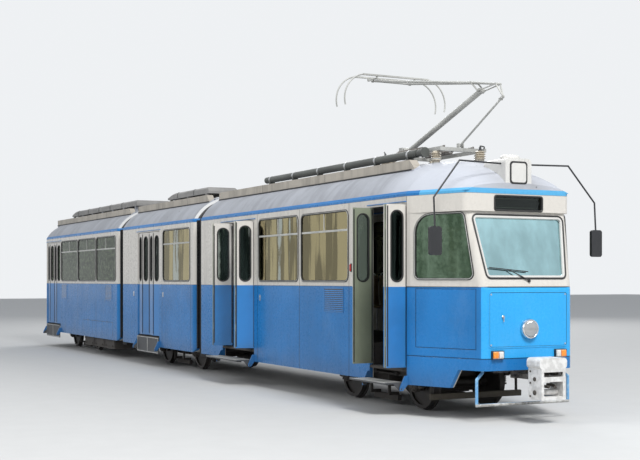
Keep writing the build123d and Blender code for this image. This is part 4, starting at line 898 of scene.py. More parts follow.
# Sections of the window rubbers, of the thin ones at the cab's ends, of the strip on them and of the band
RUBBER_SECTION = mm(8, 0, 8, 6, -4, 10, -18, 4, -22, -38, -0.3, -38, -0.3, 0)
THIN_SECTION = mm(8, 0, 8, 7, -4, 11, -14, 4, -16, -24, -0.3, -24, -0.3, 0)
LINE_SECTION = mm(-2, 8.5, -4, 12.5, -9, 11.5, -10, 7)
BAND_SECTION = mm(-14.2, 3, -18, 6, -38, 4, -42, -2, -42, -24, -16.2, -24)


def window(face, outline, section, seal, bright=None, panes=None):
    """A window's rubber and, on it, its bright filler strip and its flush outer pane."""
    ring(seal, face, outline, section)
    if bright:
        ring(bright, face, outline, LINE_SECTION)
    if panes:
        slab(panes, face, grown(outline, -0.006), -0.013, -0.008)


class TRAM_OT_dress_construction(bpy.types.Operator):
    """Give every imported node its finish"""

    bl_idname = "tram.dress_construction"
    bl_label = "Dress the Construction"

    def execute(self, context):
        paint = context.scene.tram_paint
        make_finishes(paint, context.scene.tram_sizes)
        for name, node in NODES.items():
            node.data.materials.clear()
            if "_leaf_" in name:
                node.data.materials.append(leaf_livery(name, paint))
            else:
                node.data.materials.append(FINISH[next(finish for key, finish in DRESS if key in name)])
        return {"FINISHED"}


class TRAM_OT_seal_side_windows(bpy.types.Operator):
    """Set rubber seals, bright filler strips, outer panes and vent bars in the side windows"""

    bl_idname = "tram.seal_side_windows"
    bl_label = "Seal the Side Windows"

    def execute(self, context):
        inner = 0.004 - context.scene.tram_sizes.gasket
        section = np.where(RUBBER_SECTION < (-0.01, -1), (inner, 0), RUBBER_SECTION)
        for part in SECTION_ENDS:
            seal = Shape(f"{part}_window_seals", "rubber", part, "rubber")
            bright = Shape(f"{part}_window_strips", "light_line", part, "glass")
            vents = Shape(f"{part}_window_vents", "light_line", part, "glass")
            panes = Shape(f"{part}_outer_panes", "flush_glass", part, "glass")
            for side in SIDES:
                face = side_face(side)
                for back, ahead in WINDOWS[part, side]:
                    window(face, rectangle(back, ahead, *WINDOW_Z, WINDOW_R), section, seal, bright, panes)
                    middle = (back + ahead) / 2
                    for bar in ((back + 0.012, ahead - 0.012, VENT_Z - 0.014, VENT_Z + 0.014),
                                (middle - 0.010, middle + 0.010, VENT_Z + 0.0142, WINDOW_Z[1] - 0.012)):
                        slab(vents, face, rectangle(*bar), -0.0079, -0.001, 0.002)
        return all_made()


# Outlines of the end windows, each on its own face
SCREEN = rounded(((-0.605, 1.765), (0.605, 1.765), (0.705, 2.565), (-0.705, 2.565)), 0.07)
REAR_SCREEN = rectangle(-0.700, 0.700, 1.765, 2.565, 0.07)
DISPLAY = rectangle(-0.370, 0.370, 2.615, 2.805, 0.03)
CAB_WINDOW = rounded(((8.970, 1.755), (9.830, 1.755), (9.685, 2.590), (8.970, 2.590)),
                     (0.075, 0.075, 0.075, 0.240))


class TRAM_OT_seal_end_windows(bpy.types.Operator):
    """Set seals in the windscreen, the cab's side windows, the display and the rear window"""

    bl_idname = "tram.seal_end_windows"
    bl_label = "Seal the End Windows"

    def execute(self, context):
        ring(Shape("windscreen_band", "white", "front", "body_paint"), LEAN_FACE, SCREEN, BAND_SECTION)
        panes = Shape("cab_outer_panes", "flush_glass", "front", "glass")
        corners = Shape("cab_window_corners", "body", "front", "body_paint")
        seal = Shape("cab_window_seals", "rubber", "front", "rubber")
        bright = Shape("cab_window_strips", "light_line", "front", "glass")
        header = end_face(HEADER_X)
        window(LEAN_FACE, SCREEN, THIN_SECTION, seal)
        window(header, DISPLAY, THIN_SECTION, seal)
        turn = np.linspace(0, 1, 13)[:, None] * math.pi / 2
        quarter = np.hstack((-np.cos(turn), np.sin(turn)))
        arc = (9.210, 2.350) + 0.240 * quarter
        edge = (9.045, 2.515) + 0.075 * quarter
        edge[0], edge[-1] = arc[0] + (0, 0.001), arc[-1] - (0.001, 0)
        loop = ((edge, -0.0005), (arc, -0.0005), (arc, -0.022), (edge, -0.022))
        for side in SIDES:
            face = cab_face(side)
            window(face, CAB_WINDOW, RUBBER_SECTION, seal, bright, panes)
            corners.grid(np.stack([on(face, *line.T, height) for line, height in loop], 1), caps=True)
        window(REAR_FACE, REAR_SCREEN, RUBBER_SECTION, Shape("rear_window_seal", "rubber", "rear", "rubber"),
               Shape("rear_window_strip", "light_line", "rear", "glass"))
        slab(Shape("blank_display", "black", "front", "lamp"), header, grown(DISPLAY, -0.010), -0.060, -0.052)
        rollers = Shape("display_rollers", "light_line", "front", "lamp")
        for height in (2.655, 2.765):
            slab(rollers, header, rectangle(-0.33, 0.33, height, height + 0.008), -0.052, -0.049)
        return all_made()


class TRAM_OT_fit_door_leaves(bpy.types.Operator):
    """Glaze the door leaves and give them slot rubbers and edge rubbers"""

    bl_idname = "tram.fit_door_leaves"
    bl_label = "Fit the Door Leaves"

    def execute(self, context):
        for name in INSIDE:
            along, inward, (outer, inner), (near, far) = leaf_frame(name)
            skin = inner - outer
            centre, reach = (near + far) / 2, (far - near) * 0.31
            left, right = centre - reach, centre + reach
            face = (*inward * outer, 0), (*along, 0), UP, (*-inward, 0)
            slot = rounded(((left, 1.725), (right, 1.725), (right, 2.645), (left, 2.645)), reach * 0.98)
            pane = Shape(f"{name}_glass", "leaf_glass", name, "glass")
            slab(pane, face, grown(slot, -0.004), -skin * 0.5 - 0.003, -skin * 0.5 + 0.003)
            trim = Shape(f"{name}_slot_rubber", "rubber", name, "rubber")
            back = mm(-14, -2, -4, -5, 6, -3, 6, 0, -0.3, 0) - (0, skin)
            ring(trim, face, slot, (*mm(6, 0, 6, 4, -4, 6, -14, 2), *back, (-0.0003, 0.0)))
            low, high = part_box(name)
            for edge in (near + 0.012, far - 0.012):
                strip = rectangle(edge - 0.009, edge + 0.009, low.z + 0.040, high.z - 0.040)
                slab(trim, face, strip, 0.0002, 0.0016, 0.0005)
                slab(trim, face, strip, -skin - 0.0016, -skin - 0.0002)
        return all_made()


def louvre(slats, border, back, ahead):
    """An air grille: a raised frame and sloping slats, each a wedge carried along the right wall."""
    low, high = GRILLE_Z
    ring(border, side_face(-1), rectangle(back, ahead, low, high, 0.012), mm(0, 0, 0, 6, -20, 6, -22, 0))
    count = max(4, round((high - low) / 0.034))
    pitch = (high - low - 0.05) / count
    for row in range(count):
        wedge = np.array(((0, 0.001), (0, 0.009), (pitch * 0.62, 0.003), (pitch * 0.62, 0.001)))
        rise = low + 0.025 + row * pitch + wedge[None, :, 0]
        stretch = np.array(((back + 0.024,), (ahead - 0.024,)))
        slats.grid(on(side_face(-1), stretch, rise, wedge[None, :, 1]), caps=True)


class TRAM_OT_fit_body_trim(bpy.types.Operator):
    """Fit drip strips, air grilles and button plates"""

    bl_idname = "tram.fit_body_trim"
    bl_label = "Fit the Body Trim"

    def execute(self, context):
        face = side_face(-1)
        for part in SECTION_ENDS:
            trim = Shape(f"{part}_drip_strips", "blue", part, "body_paint")
            shadows = Shape(f"{part}_grille_shadows", "black", part, "body_paint")
            slats = Shape(f"{part}_grille_slats", "body", part, "body_paint")
            borders = Shape(f"{part}_grille_frames", "blue", part, "body_paint")
            metal = Shape(f"{part}_door_buttons", "aluminium", part, "step_metal")
            for back, ahead in GRILLES[part]:
                louvre(slats, borders, back, ahead)
                slab(shadows, face, rectangle(back + 0.021, ahead - 0.021, 1.304, 1.621), 0.0002, 0.0008)
            for section, back, ahead in DOORS.values():
                if section == part:
                    strip = rectangle(back - 0.05, min(ahead + 0.05, CAB_X), 2.752, 2.764)
                    slab(trim, face, strip, 0.0, 0.020, 0.003)
            for x in BUTTONS[part]:
                slab(metal, face, rectangle(x - 0.025, x + 0.025, 1.41, 1.51, 0.012), 0.0, 0.006, 0.002)
                lathe(metal, (x, -HALF_WIDTH - 0.006, 1.475), (0, -1, 0), mm(16, 0, 16, 4, 12, 7), 16)
        return all_made()


class TRAM_OT_fit_front_panel(bpy.types.Operator):
    """Fit the front hatch's border, its gap, screws and lever, the belt moulding and the wiper"""

    bl_idname = "tram.fit_front_panel"
    bl_label = "Fit the Front Panel"

    def execute(self, context):
        hatch = rectangle(-0.61, 0.61, 0.905, 1.615, 0.05)
        face = end_face(NOSE_X)
        ring(Shape("front_hatch_border", "body", "front", "body_paint"), face, hatch,
             mm(0, 0, 0, 3, -4, 5, -18, 5, -21, 0))
        ring(Shape("front_hatch_gap", "rubber", "front", "rubber"), face, grown(hatch, -0.0205),
             mm(0, 0.2, 0, 1.2, -4, 1.2, -4, 0.2))
        metal = Shape("front_hatch_screws", "aluminium", "front", "step_metal")
        for u in (-0.565, 0.565):
            for v in (0.95, 1.57):
                lathe(metal, (NOSE_X, u, v), AHEAD, mm(11, 0, 11, 3, 7, 5), 12)
        lathe(metal, (NOSE_X, HANDLE_Y, 1.295), AHEAD, mm(20, 0, 20, 8, 13, 14, 13, 20), 16)
        tube(metal, ((NOSE_X + 0.018, HANDLE_Y, 1.300), (NOSE_X + 0.018, HANDLE_Y, 1.235)), 0.007)
        moulding = Shape("belt_moulding", "dark", "front", "rubber")
        plan = np.array(((CAB_X, -HALF_WIDTH), (NOSE_X - 0.005, -NOSE_HALF + 0.002), (NOSE_X - 0.006, 0),
                         (NOSE_X - 0.005, NOSE_HALF - 0.002), (CAB_X, HALF_WIDTH)))
        path = np.column_stack((plan, np.full(5, BLUE_TOP + 0.001)))
        tube(moulding, bend(path, 0.10), 0.006, 8, UP)
        wiper = Shape("wiper", "black", "front", "mirror_paint")
        pivot, knee = on(LEAN_FACE, (0.02, -0.27), (1.735, 1.878), (0.020, 0.004))
        lathe(wiper, on(LEAN_FACE, 0.02, 1.735, 0.001), LEAN_FACE[3], mm(20, 0, 20, 14, 12, 26), 16)
        tube(wiper, np.array((pivot, (pivot + knee) / 2 + (0.006, 0, 0), knee)), (0.009, 0.007, 0.005))
        tube(wiper, on(LEAN_FACE, (-0.55, 0.03), (1.902, 1.853), 0.0), 0.007)
        return all_made()


class TRAM_OT_fit_lamps(bpy.types.Operator):
    """Fit the headlamp's rim and glass, the lamp clusters, the side lamp and the tail lamps"""

    bl_idname = "tram.fit_lamps"
    bl_label = "Fit the Lamps"

    def execute(self, context):
        place = (NOSE_X, 0, HEADLAMP_Z)
        lathe(Shape("headlamp_rim", "lamp", "front", "lamp"), place, AHEAD,
              mm(115.5, 2, 127, 3, 130, 12, 126, 32, 117, 48, 106, 52, 100, 46, 100, 42.3, 115.5, 42.3),
              48, closed=True)
        lathe(Shape("headlamp_glass_dome", "headlamp", "front", "lamp"), place, AHEAD,
              mm(102.5, 42.3, 100, 50, 85, 60, 60, 67, 30, 71, 0, 72), 48)
        foot, head = CLUSTER_Z[0] + 0.004, CLUSTER_Z[1] - 0.004
        cushion = ((0, 0, 0.012), (0.001, 0.010, 0.012), (0.004, 0.016, 0.010), (0.010, 0.019, 0.009),
                   (0.020, 0.0212, 0.006), (0.031, 0.0218, 0.002))
        for side in SIDES:
            for finish, near, far in LAMP_COVERS:
                cover = Shape(f"{'right' if side < 0 else 'left'}_{finish}_lamp", finish, "front", "lamp")
                left, right = sorted((side * near, side * far))
                rows = [(rectangle(left + inset, right - inset, foot + inset, head - inset, radius), height)
                        for inset, height, radius in cushion]
                cover.grid(stacked(end_face(NOSE_X + 0.030), rows), caps=True)
        frames = Shape("lamp_cluster_frames", "black", "front", "lamp")
        for side in SIDES:
            outline = rectangle(*sorted(side * y for y in CLUSTER_Y), *CLUSTER_Z, 0.004)
            ring(frames, end_face(NOSE_X), outline, mm(0.3, 0, 0.3, 34, 6, 34, 10, 0))
        face = side_face(-1)
        outline = rectangle(7.345, 7.395, 1.86, 1.98, 0.02)
        slab(Shape("side_lamp_base", "black", "front", "lamp"), face, outline, 0, 0.012, 0.003)
        slab(Shape("side_lamp_glass", "red", "front", "lamp"), face, grown(outline, -0.010),
             0.012, 0.030, 0.010)
        tail_base = Shape("tail_lamp_bases", "black", "rear", "lamp")
        tail_lens = Shape("tail_lamp_glasses", "red", "rear", "lamp")
        for side in SIDES:
            place = (REAR_X - 0.0002, side * 0.62, 1.00)
            lathe(tail_base, place, (-1, 0, 0), mm(62, 0, 62, 10, 52, 18), 32)
            lathe(tail_lens, place, (-1, 0, 0), mm(48, 18, 46, 28, 30, 38, 0, 42), 32)
        return all_made()


class TRAM_OT_fit_signs_and_mirrors(bpy.types.Operator):
    """Fit the blank route plate, the mirror faces and their rims"""

    bl_idname = "tram.fit_signs_and_mirrors"
    bl_label = "Fit the Blank Sign and Mirrors"

    def execute(self, context):
        face = end_face(DOME_X)
        slab(Shape("route_plate_border", "black", "front", "box_paint"), face,
             rectangle(-0.135, 0.135, 2.954, 3.242, 0.045), 0.0003, 0.006, 0.002)
        slab(Shape("route_plate_blank", "white", "front", "box_paint"), face,
             rectangle(-0.112, 0.112, 2.977, 3.219, 0.035), 0.006, 0.009, 0.001)
        glass = Shape("mirror_faces", "mirror", "front", "mirror_paint")
        rims = Shape("mirror_rims", "rubber", "front", "rubber")
        back = end_face(MIRROR_X, -1)
        for side in SIDES:
            y = side * (HALF_WIDTH + 0.140)
            outline = rectangle(y - 0.085, y + 0.085, *MIRROR_Z, 0.035)
            slab(glass, back, grown(outline, -0.010), 0.0003, 0.0025, 0.001)
            ring(rims, back, outline, mm(-0.5, 0.3, -0.5, 5, -9, 5, -9, 0.3))
        return all_made()


class TRAM_OT_make_bellows(bpy.types.Operator):
    """Make the folded bellows at both articulations"""

    bl_idname = "tram.make_bellows"
    bl_label = "Make the Bellows"

    def execute(self, context):
        deep = context.scene.tram_sizes.bellows_depth
        inset, skin, folds = 0.108, 0.006, 6
        tall = (CROWN_Z - inset - CANT_Z) / (CROWN_Z - CANT_Z)
        wide = (HALF_WIDTH - inset) / HALF_WIDTH
        upright = np.linspace(SKIRT_Z, CANT_Z, 20)
        across = np.linspace(-1, 1, 61)[1:-1] * (HALF_WIDTH - inset)
        arch = CANT_Z + (arch_height(across / wide) - CANT_Z) * tall
        right, left = np.full(20, -HALF_WIDTH + inset), np.full(20, HALF_WIDTH - inset)
        line = np.column_stack((np.concatenate((right, across, left)),
                                np.concatenate((upright, arch, upright[::-1]))))
        tangent = unit(np.gradient(line, axis=0))
        normal = np.stack((-tangent[:, 1], tangent[:, 0]), 1)
        t = np.linspace(0, 1, folds * 8 + 1)
        height = -deep * (0.5 - 0.5 * np.abs(np.cos(math.pi * folds * t)) ** 0.8)
        half = JOINT_HALF - 0.001
        outer = np.stack((-half + 2 * half * t, height), 1)
        profile = np.concatenate((outer, outer[::-1] - (0, skin)))
        for name, ends in (("front", ("middle", "front")), ("rear", ("rear", "middle"))):
            pivot = JOINTS[name]
            shape = Shape(f"{name}_bellows", "bellows", None, "rubber", 75.0)
            yz = line[:, None] + normal[:, None] * profile[None, :, 1, None]
            x = np.broadcast_to(pivot + profile[:, 0], yz.shape[:2])
            shape.grid(np.concatenate((x[..., None], yz), -1), caps=True)
            piece = shape.made()
            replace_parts(piece, f"{name}_gaiter")
            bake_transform(piece)
        return {"FINISHED"}


class TRAM_OT_fit_roof(bpy.types.Operator):
    """Fit hood straps, tube clamps, the collector's insulators and its springs, and fairing edges that also
    stand for the shadow lines under the fairings
    """

    bl_idname = "tram.fit_roof"
    bl_label = "Fit the Roof"

    def execute(self, context):
        for part, (back, ahead) in FAIRINGS.items():
            # Black rubber strips at the fairings' feet, which are also painted shadow lines under the fairings
            foot = Shape(f"{part}_fairing_seals_and_shade", "rubber", part, "rubber")
            for y in (-0.6385, -0.7615, 0.6385, 0.7615):
                x = np.linspace(back, ahead, 3)
                z = float(arch_height(y)) + 0.003
                tube(foot, np.stack((x, np.full(3, y), np.full(3, z)), 1), 0.011, 6)
            if part not in HOODS:
                continue
            back, ahead, half, low, top = HOODS[part]
            straps = Shape(f"{part}_hood_straps", "dark", part, "roof_paint")
            rise = ((half + 0.003, low + 0.010), (half + 0.003, top - 0.030), (half - 0.027, top + 0.003))
            for x in np.arange(back + 0.60, ahead - 0.2, 0.95):
                path = [(x, -y, z) for y, z in rise] + [(x, y, z) for y, z in reversed(rise)]
                tube(straps, bend(path, 0.008, 3), 0.005, 6, AHEAD)
        clamps = Shape("roof_tube_clamps", "aluminium", "front", "tube_paint")
        for x in np.linspace(3.35, 7.90, 6):
            lathe(clamps, (x - 0.022, TUBE_Y, 3.475), AHEAD, mm(55.1, 0, 59, 0, 59, 44, 55.1, 44),
                  closed=True)
            for side in SIDES:
                lathe(clamps, (x, TUBE_Y + side * 0.036, 3.428), UP, mm(8, 0, 8, 12), 8)
        ceramic = Shape("roof_insulators", "ceramic", "front", "collector_metal")
        for x, y in INSULATORS:
            foot = float(arch_height(y)) - 0.004
            ribs = [mm(54, 0, 74, 8, 74, 14, 54, 22) + (0, z) for z in (0.018, 0.048, 0.078, 0.108)]
            rows = ((0.050, 0), *np.concatenate(ribs), (0.050, COLLECTOR_Z - foot))
            lathe(ceramic, (x, y, foot), UP, rows, 28)
        metal = Shape("roof_current_gear", "dark", "front", "collector_metal")
        lathe(metal, (8.62, 0.20, COLLECTOR_Z), UP, mm(30, 0, 30, 20, 18, 30, 18, 55, 0, 60))
        lathe(metal, (6.72, -0.18, COLLECTOR_Z), UP, mm(60, 0, 66, 10, 66, 75, 50, 95, 0, 100))
        for ease, *path in (
                (0.06, (6.72, -0.18, 3.575), (6.72, -0.18, 3.62), (6.90, -0.30, 3.62), (7.06, -0.345, 3.535)),
                (0.05, (8.62, 0.20, 3.530), (8.62, 0.20, 3.560), (8.55, 0.32, 3.560), (8.50, 0.345, 3.535))):
            tube(metal, bend(path, ease), 0.010)
        springs = Shape("pantograph_springs", "steel", "front", "collector_metal")
        for y in (-0.235, 0.235):
            coil(springs, (7.20, y, SPRING_Z), (7.86, y, SPRING_Z), 0.036, 0.006, 26)
            tube(springs, ((7.86, y, SPRING_Z), (8.40, y, SPRING_Z)), 0.010)
            tube(springs, ((7.10, y, SPRING_Z), (7.21, y, SPRING_Z)), 0.012)
            for x in (7.10, 8.40):
                tube(springs, ((x, y, SPRING_Z - 0.030), (x, y, SPRING_Z + 0.012)), 0.014)
        return all_made()


class TRAM_OT_fit_bogies(bpy.types.Operator):
    """Fit springs, axle-box covers and rods to the bogies, and the board ahead of the leading wheels"""

    bl_idname = "tram.fit_bogies"
    bl_label = "Fit the Bogies"

    def execute(self, context):
        board = Shape("rail_guard_board", "board", "front_bogie", "bogie_paint")
        box_bar(board, (8.795, -0.72, 0.185), (8.840, 0.72, 0.265), 0.006)
        for part, pivot in BOGIE_X.items():
            body = f"{part}_bogie"
            springs = Shape(f"{body}_springs", "steel", body, "bogie_paint")
            gear = Shape(f"{body}_gear", "undergear", body, "bogie_paint")
            for side in SIDES:
                y, out = side * BOGIE_SPRING_Y, (0, side, 0)
                for x in (pivot - 0.10, pivot + 0.10):
                    coil(springs, (x, y, 0.536), (x, y, 0.688), 0.052, 0.011, 4.5)
                    lathe(springs, (x, y, 0.5303), UP, mm(70, 0, 70, 10, 30, 12, 28, 60))
                for axle in (pivot - AXLE_SPREAD, pivot + AXLE_SPREAD):
                    lathe(gear, (axle, side * BOGIE_FACE_Y, AXLE_Z), out,
                          mm(92, 0, 92, 12, 80, 22, 50, 26, 46, 36, 0, 38), 32)
                    for angle in np.arange(6) * math.pi / 3:
                        place = (axle + np.cos(angle) * 0.078, side * 0.714, AXLE_Z + np.sin(angle) * 0.078)
                        lathe(gear, place, out, mm(9, 0, 9, 12, 6, 14), 6)
                    for foot in (-0.16, 0.16):
                        x = axle + foot
                        coil(springs, (x, y, 0.340), (x, y, 0.438), 0.034, 0.009, 3.5)
                        lathe(gear, (x, y, 0.318), UP, mm(46, 0, 46, 20), 20)
                        back, ahead = sorted((x, axle + foot * 0.55))
                        box_bar(gear, (back - 0.01, y - 0.022, 0.306), (ahead + 0.01, y + 0.022, 0.3178))
                tube(gear, ((pivot - 0.60, side * 0.712, 0.470), (pivot + 0.60, side * 0.712, 0.470)), 0.014)
                near, far = sorted((side * (BOGIE_FACE_Y + 0.0001), side * 0.730))
                for x in (pivot - 0.55, pivot, pivot + 0.55):
                    box_bar(gear, (x - 0.03, near, 0.445), (x + 0.03, far, 0.495))
                if part == "front":
                    y = side * 0.678
                    arm = bend(((8.596, y, 0.485), (8.775, y, 0.470), (8.775, y, 0.200)), 0.08)
                    tube(gear, arm, 0.0195, 10, LEFT)
        return all_made()


class TRAM_OT_fit_couplers(bpy.types.Operator):
    """Fit the couplers' pins, hooks, springs and bolts, and the jumper sockets beside the front one"""

    bl_idname = "tram.fit_couplers"
    bl_label = "Fit the Couplers"

    def execute(self, context):
        for body, way in (("front", 1), ("rear", -1)):
            dark = Shape(f"{body}_coupler_gear", "undergear", body, "coupler_paint")
            head = COUPLER_HEADS[body]
            middle = way * (head + COUPLER_FACE) / 2
            lathe(dark, (middle, 0, 0.582), UP, mm(30, 0, 30, 30, 45, 34, 45, 50, 0, 54))
            bolts = [(way * (head + 0.045), z, mm(12, 0, 12, 10), 6) for z in (0.340, 0.500, 0.640)]
            bolts.append((middle, 0.550, mm(26, 0, 26, 12, 16, 20), 6))
            bolts.append((middle, 0.387, mm(30, 0, 30, 10, 14, 18), 20))
            for side in SIDES:
                tube(dark, bend(((way * (head + 0.02), side * 0.09, 0.470), (middle, side * 0.09, 0.470),
                                 (way * (COUPLER_FACE - 0.025), side * 0.045, 0.455)), 0.05), 0.018)
                y = side * 0.10
                coil(dark, (middle - 0.06, y, 0.615), (middle + 0.06, y, 0.615), 0.022, 0.006, 7)
                for x, z, profile, sides in bolts:
                    lathe(dark, (x, side * COUPLER_CHEEK_Y, z), (0, side, 0), profile, sides)
            ring(dark, end_face(way * COUPLER_FACE, -way), rectangle(-0.125, 0.125, 0.600, 0.634, 0.01),
                 mm(0, 2, 4, 2, 4, 20, 0, 20))
        sockets = Shape("jumper_sockets", "dark", "front", "coupler_paint")
        box_bar(sockets, (9.845, -0.46, 0.600), (9.870, -0.26, 0.8298))
        for y in (-0.41, -0.31):
            lathe(sockets, (9.870, y, 0.655), AHEAD, mm(40, 0, 40, 45, 46, 48, 46, 66, 40, 72, 0, 74), 20)
            box_bar(sockets, (9.880, y - 0.012, 0.690), (9.940, y + 0.012, 0.706), 0.002)
        return all_made()


def moulded_seat(shape, legs, x, y0, y1, skin):
    """A moulded bench: a curved line of pan and back, thickened, carried across and rounded at its sides."""
    rise = np.linspace(0, 1, 14)
    dip = 0.022 * np.sin(math.pi * rise) + 0.024 * (1 - rise) ** 4
    pan = np.stack((0.205 - 0.375 * rise, 0.430 - dip), 1)
    lift = np.linspace(0, 1, 12)[1:]
    back = np.stack((-0.170 - 0.035 * lift - 0.012 * np.sin(math.pi * lift), 0.430 + 0.500 * lift), 1)
    line = np.concatenate((pan, back))
    tangent = unit(np.gradient(line, axis=0))
    normal = np.stack((-tangent[:, 1], tangent[:, 0]), 1)
    middle, half = (y0 + y1) / 2, (y1 - y0) / 2
    loops = []
    for place, share in ((-1, 0.2), (-0.985, 0.7), (-0.95, 1), (0.95, 1), (0.985, 0.7), (1, 0.2)):
        swell = normal * skin / 2 * share
        loop = np.concatenate((line + swell, (line - swell)[::-1]))
        y = np.full(len(loop), middle + place * half)
        loops.append(np.stack((x + loop[:, 0], y, FLOOR_Z + loop[:, 1]), 1))
    shape.grid(np.stack(loops), caps=True)
    front, rear, foot, seat = x + 0.10, x - 0.12, FLOOR_Z + 0.002, FLOOR_Z + 0.385
    for y in (middle - half * 0.7, middle + half * 0.7):
        frame_line = ((front, y, foot), (front, y, seat), (rear, y, seat), (rear, y, foot))
        tube(legs, bend(frame_line, 0.05), 0.012, 8)
    right, left = middle - half * 0.8, middle + half * 0.8
    low, high = (x - 0.20, FLOOR_Z + 0.880), (x - 0.235, FLOOR_Z + 0.965)
    grip = [(u, y, z) for (u, z), y in ((low, right), (high, right), (high, left), (low, left))]
    tube(legs, bend(grip, 0.04), 0.012, 8)


class TRAM_OT_furnish_saloon(bpy.types.Operator):
    """Put in moulded seats, grab poles, ceiling rails and lamp strips"""

    bl_idname = "tram.furnish_saloon"
    bl_label = "Furnish the Saloon"

    def execute(self, context):
        sizes = context.scene.tram_sizes
        wall = HALF_WIDTH - 0.070
        top = float(arch_height(RAIL_Y)) - 0.046
        for part, (right, left) in SEATS.items():
            seats = Shape(f"{part}_moulded_seats", "seat", part, "seat_shell", 50.0)
            metal = Shape(f"{part}_saloon_rails", "aluminium", part, "step_metal")
            lights = Shape(f"{part}_ceiling_lamps", "diffuser", part, "lamp")
            places = [(x, -wall, -wall + SEAT_WIDTH) for x in right]
            places += [(x, wall - SEAT_WIDTH, wall) for x in left]
            if part == "front":
                places.append((9.05, -0.22, 0.22))
            for place in places:
                moulded_seat(seats, metal, *place, sizes.seat_skin)
            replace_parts(seats.made(), f"{part}_seats")
            back, ahead = SECTION_ENDS[part]
            back, ahead = back + 0.35, ahead - (0.45 if part == "front" else 0.35)
            for side in SIDES:
                y = side * RAIL_Y
                tube(metal, ((back, y, RAIL_Z), (ahead, y, RAIL_Z)), 0.014)
                for x in np.linspace(back + 0.1, ahead - 0.1, max(3, round((ahead - back) / 1.5))):
                    tube(metal, ((x, y, RAIL_Z), (x, y, top)), 0.010)
                strip = rectangle(back, ahead, side * 0.20 - 0.06, side * 0.20 + 0.06)
                slab(lights, CEILING_FACE, strip, -3.3135, -3.270, 0.02)
            poles = [x for section, jamb_back, jamb_front in DOORS.values() if section == part
                     for x in (jamb_back - 0.06, (jamb_back + jamb_front) / 2, jamb_front + 0.06) if x < CAB_X]
            for x in poles:
                tube(metal, ((x, -RAIL_Y, FLOOR_Z + 0.002), (x, -RAIL_Y, RAIL_Z)), sizes.pole_radius)
            all_made()
        return {"FINISHED"}


class TRAM_OT_fit_cab(bpy.types.Operator):
    """Fit the driver's instruments, controller crank and brake handle"""

    bl_idname = "tram.fit_cab"
    bl_label = "Fit the Driver's Controls"

    def execute(self, context):
        panel = Shape("instrument_panel", "dark", "front", "desk")
        dials = Shape("instrument_dials", "black", "front", "desk")
        metal = Shape("driver_controls", "aluminium", "front", "desk")
        tilt = ((9.47, 0, DESK_Z + 0.0002), LEFT, (0.5, 0, 0.8660), (-0.8660, 0, 0.5))
        slab(panel, tilt, rectangle(-0.36, 0.10, 0.0, 0.20, 0.02), -0.06, 0.012, 0.004)
        for u in (-0.28, -0.13, 0.02):
            lathe(dials, on(tilt, u, 0.11, 0.0122), tilt[3], mm(58, 0, 58, 6, 50, 10, 48, 6, 0, 6), 32)
        lathe(metal, (9.50, 0.34, DESK_Z), UP, mm(110, 0, 110, 30, 100, 45, 30, 50, 30, 90, 0, 95), 32)
        crank = ((9.50, 0.34, 1.645), (9.42, 0.34, 1.66), (9.36, 0.34, 1.66), (9.36, 0.34, 1.73))
        tube(metal, bend(crank, 0.03), 0.011)
        lathe(metal, (9.50, -0.46, DESK_Z), UP, mm(50, 0, 50, 40, 20, 50, 20, 90))
        tube(metal, ((9.50, -0.46, 1.645), (9.37, -0.43, 1.665)), 0.012)
        return all_made()


class TRAM_OT_fit_steps_and_boxes(bpy.types.Operator):
    """Fit nosings and ribs to the steps, treads to the stairwells and lids to the underfloor boxes"""

    bl_idname = "tram.fit_steps_and_boxes"
    bl_label = "Fit the Steps and Underfloor Boxes"

    def execute(self, context):
        for door, (part, jamb_back, jamb_front) in DOORS.items():
            edge = Shape(f"{door}_step_edges", "light_line", f"{door}_step", "step_metal")
            low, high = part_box(f"{door}_step")
            back, ahead = jamb_back + 0.022, jamb_front - 0.022
            lies_flat = high.z - low.z < 0.25
            if lies_flat:
                z = high.z + 0.0002
                for y in np.arange(low.y + 0.03, low.y + 0.26, 0.028):
                    box_bar(edge, (back + 0.03, y, z), (ahead - 0.03, y + 0.010, z + 0.0033), 0.001)
                box_bar(edge, (back, low.y + 0.001, z), (ahead, low.y + 0.022, z + 0.0038), 0.0015)
            else:
                face = side_face(-1, HALF_WIDTH - 1.120)
                outline = rectangle(back + 0.004, ahead - 0.004, 0.278, high.z - 0.006, 0.01)
                ring(edge, face, outline, mm(0, 0.3, 0, 4, -12, 4, -12, 0.3))
                middle = (back + ahead) / 2
                bar = rectangle(middle - 0.008, middle + 0.008, 0.292, high.z - 0.020)
                slab(edge, face, bar, 0.0003, 0.005, 0.001)
            tread = Shape(f"{door}_stair_ribs", "step", part, "step_metal")
            for y in np.arange(-HALF_WIDTH + 0.03, -HALF_WIDTH + 0.25, 0.03):
                box_bar(tread, (jamb_back + 0.03, y, STEP_Z + 0.0002),
                        (jamb_front - 0.03, y + 0.012, STEP_Z + 0.0035), 0.001)
        lids = Shape("underfloor_box_lids", "undergear", "rear", "underframe_paint")
        face = side_face(-1, 0.065)
        for back, ahead in UNDERFLOOR_BOXES:
            ring(lids, face, rectangle(back, ahead, 0.215, 0.815, 0.02), mm(0, 0.3, 0, 8, -30, 8, -30, 0.3))
            for x in (back + 0.12, ahead - 0.12):
                slab(lids, face, rectangle(x - 0.02, x + 0.02, 0.235, 0.275, 0.006), 0.008, 0.020, 0.004)
        return all_made()


# Lamps of the studio: name, place, size and power
LAMPS = (
    ("key_light", (24.0, -2.0, 20.0), 9.0, 6300.0),
    ("side_light", (6.0, -26.0, 16.0), 16.0, 2700.0),
    ("back_light", (-22.0, 16.0, 16.0), 14.0, 2800.0),
)


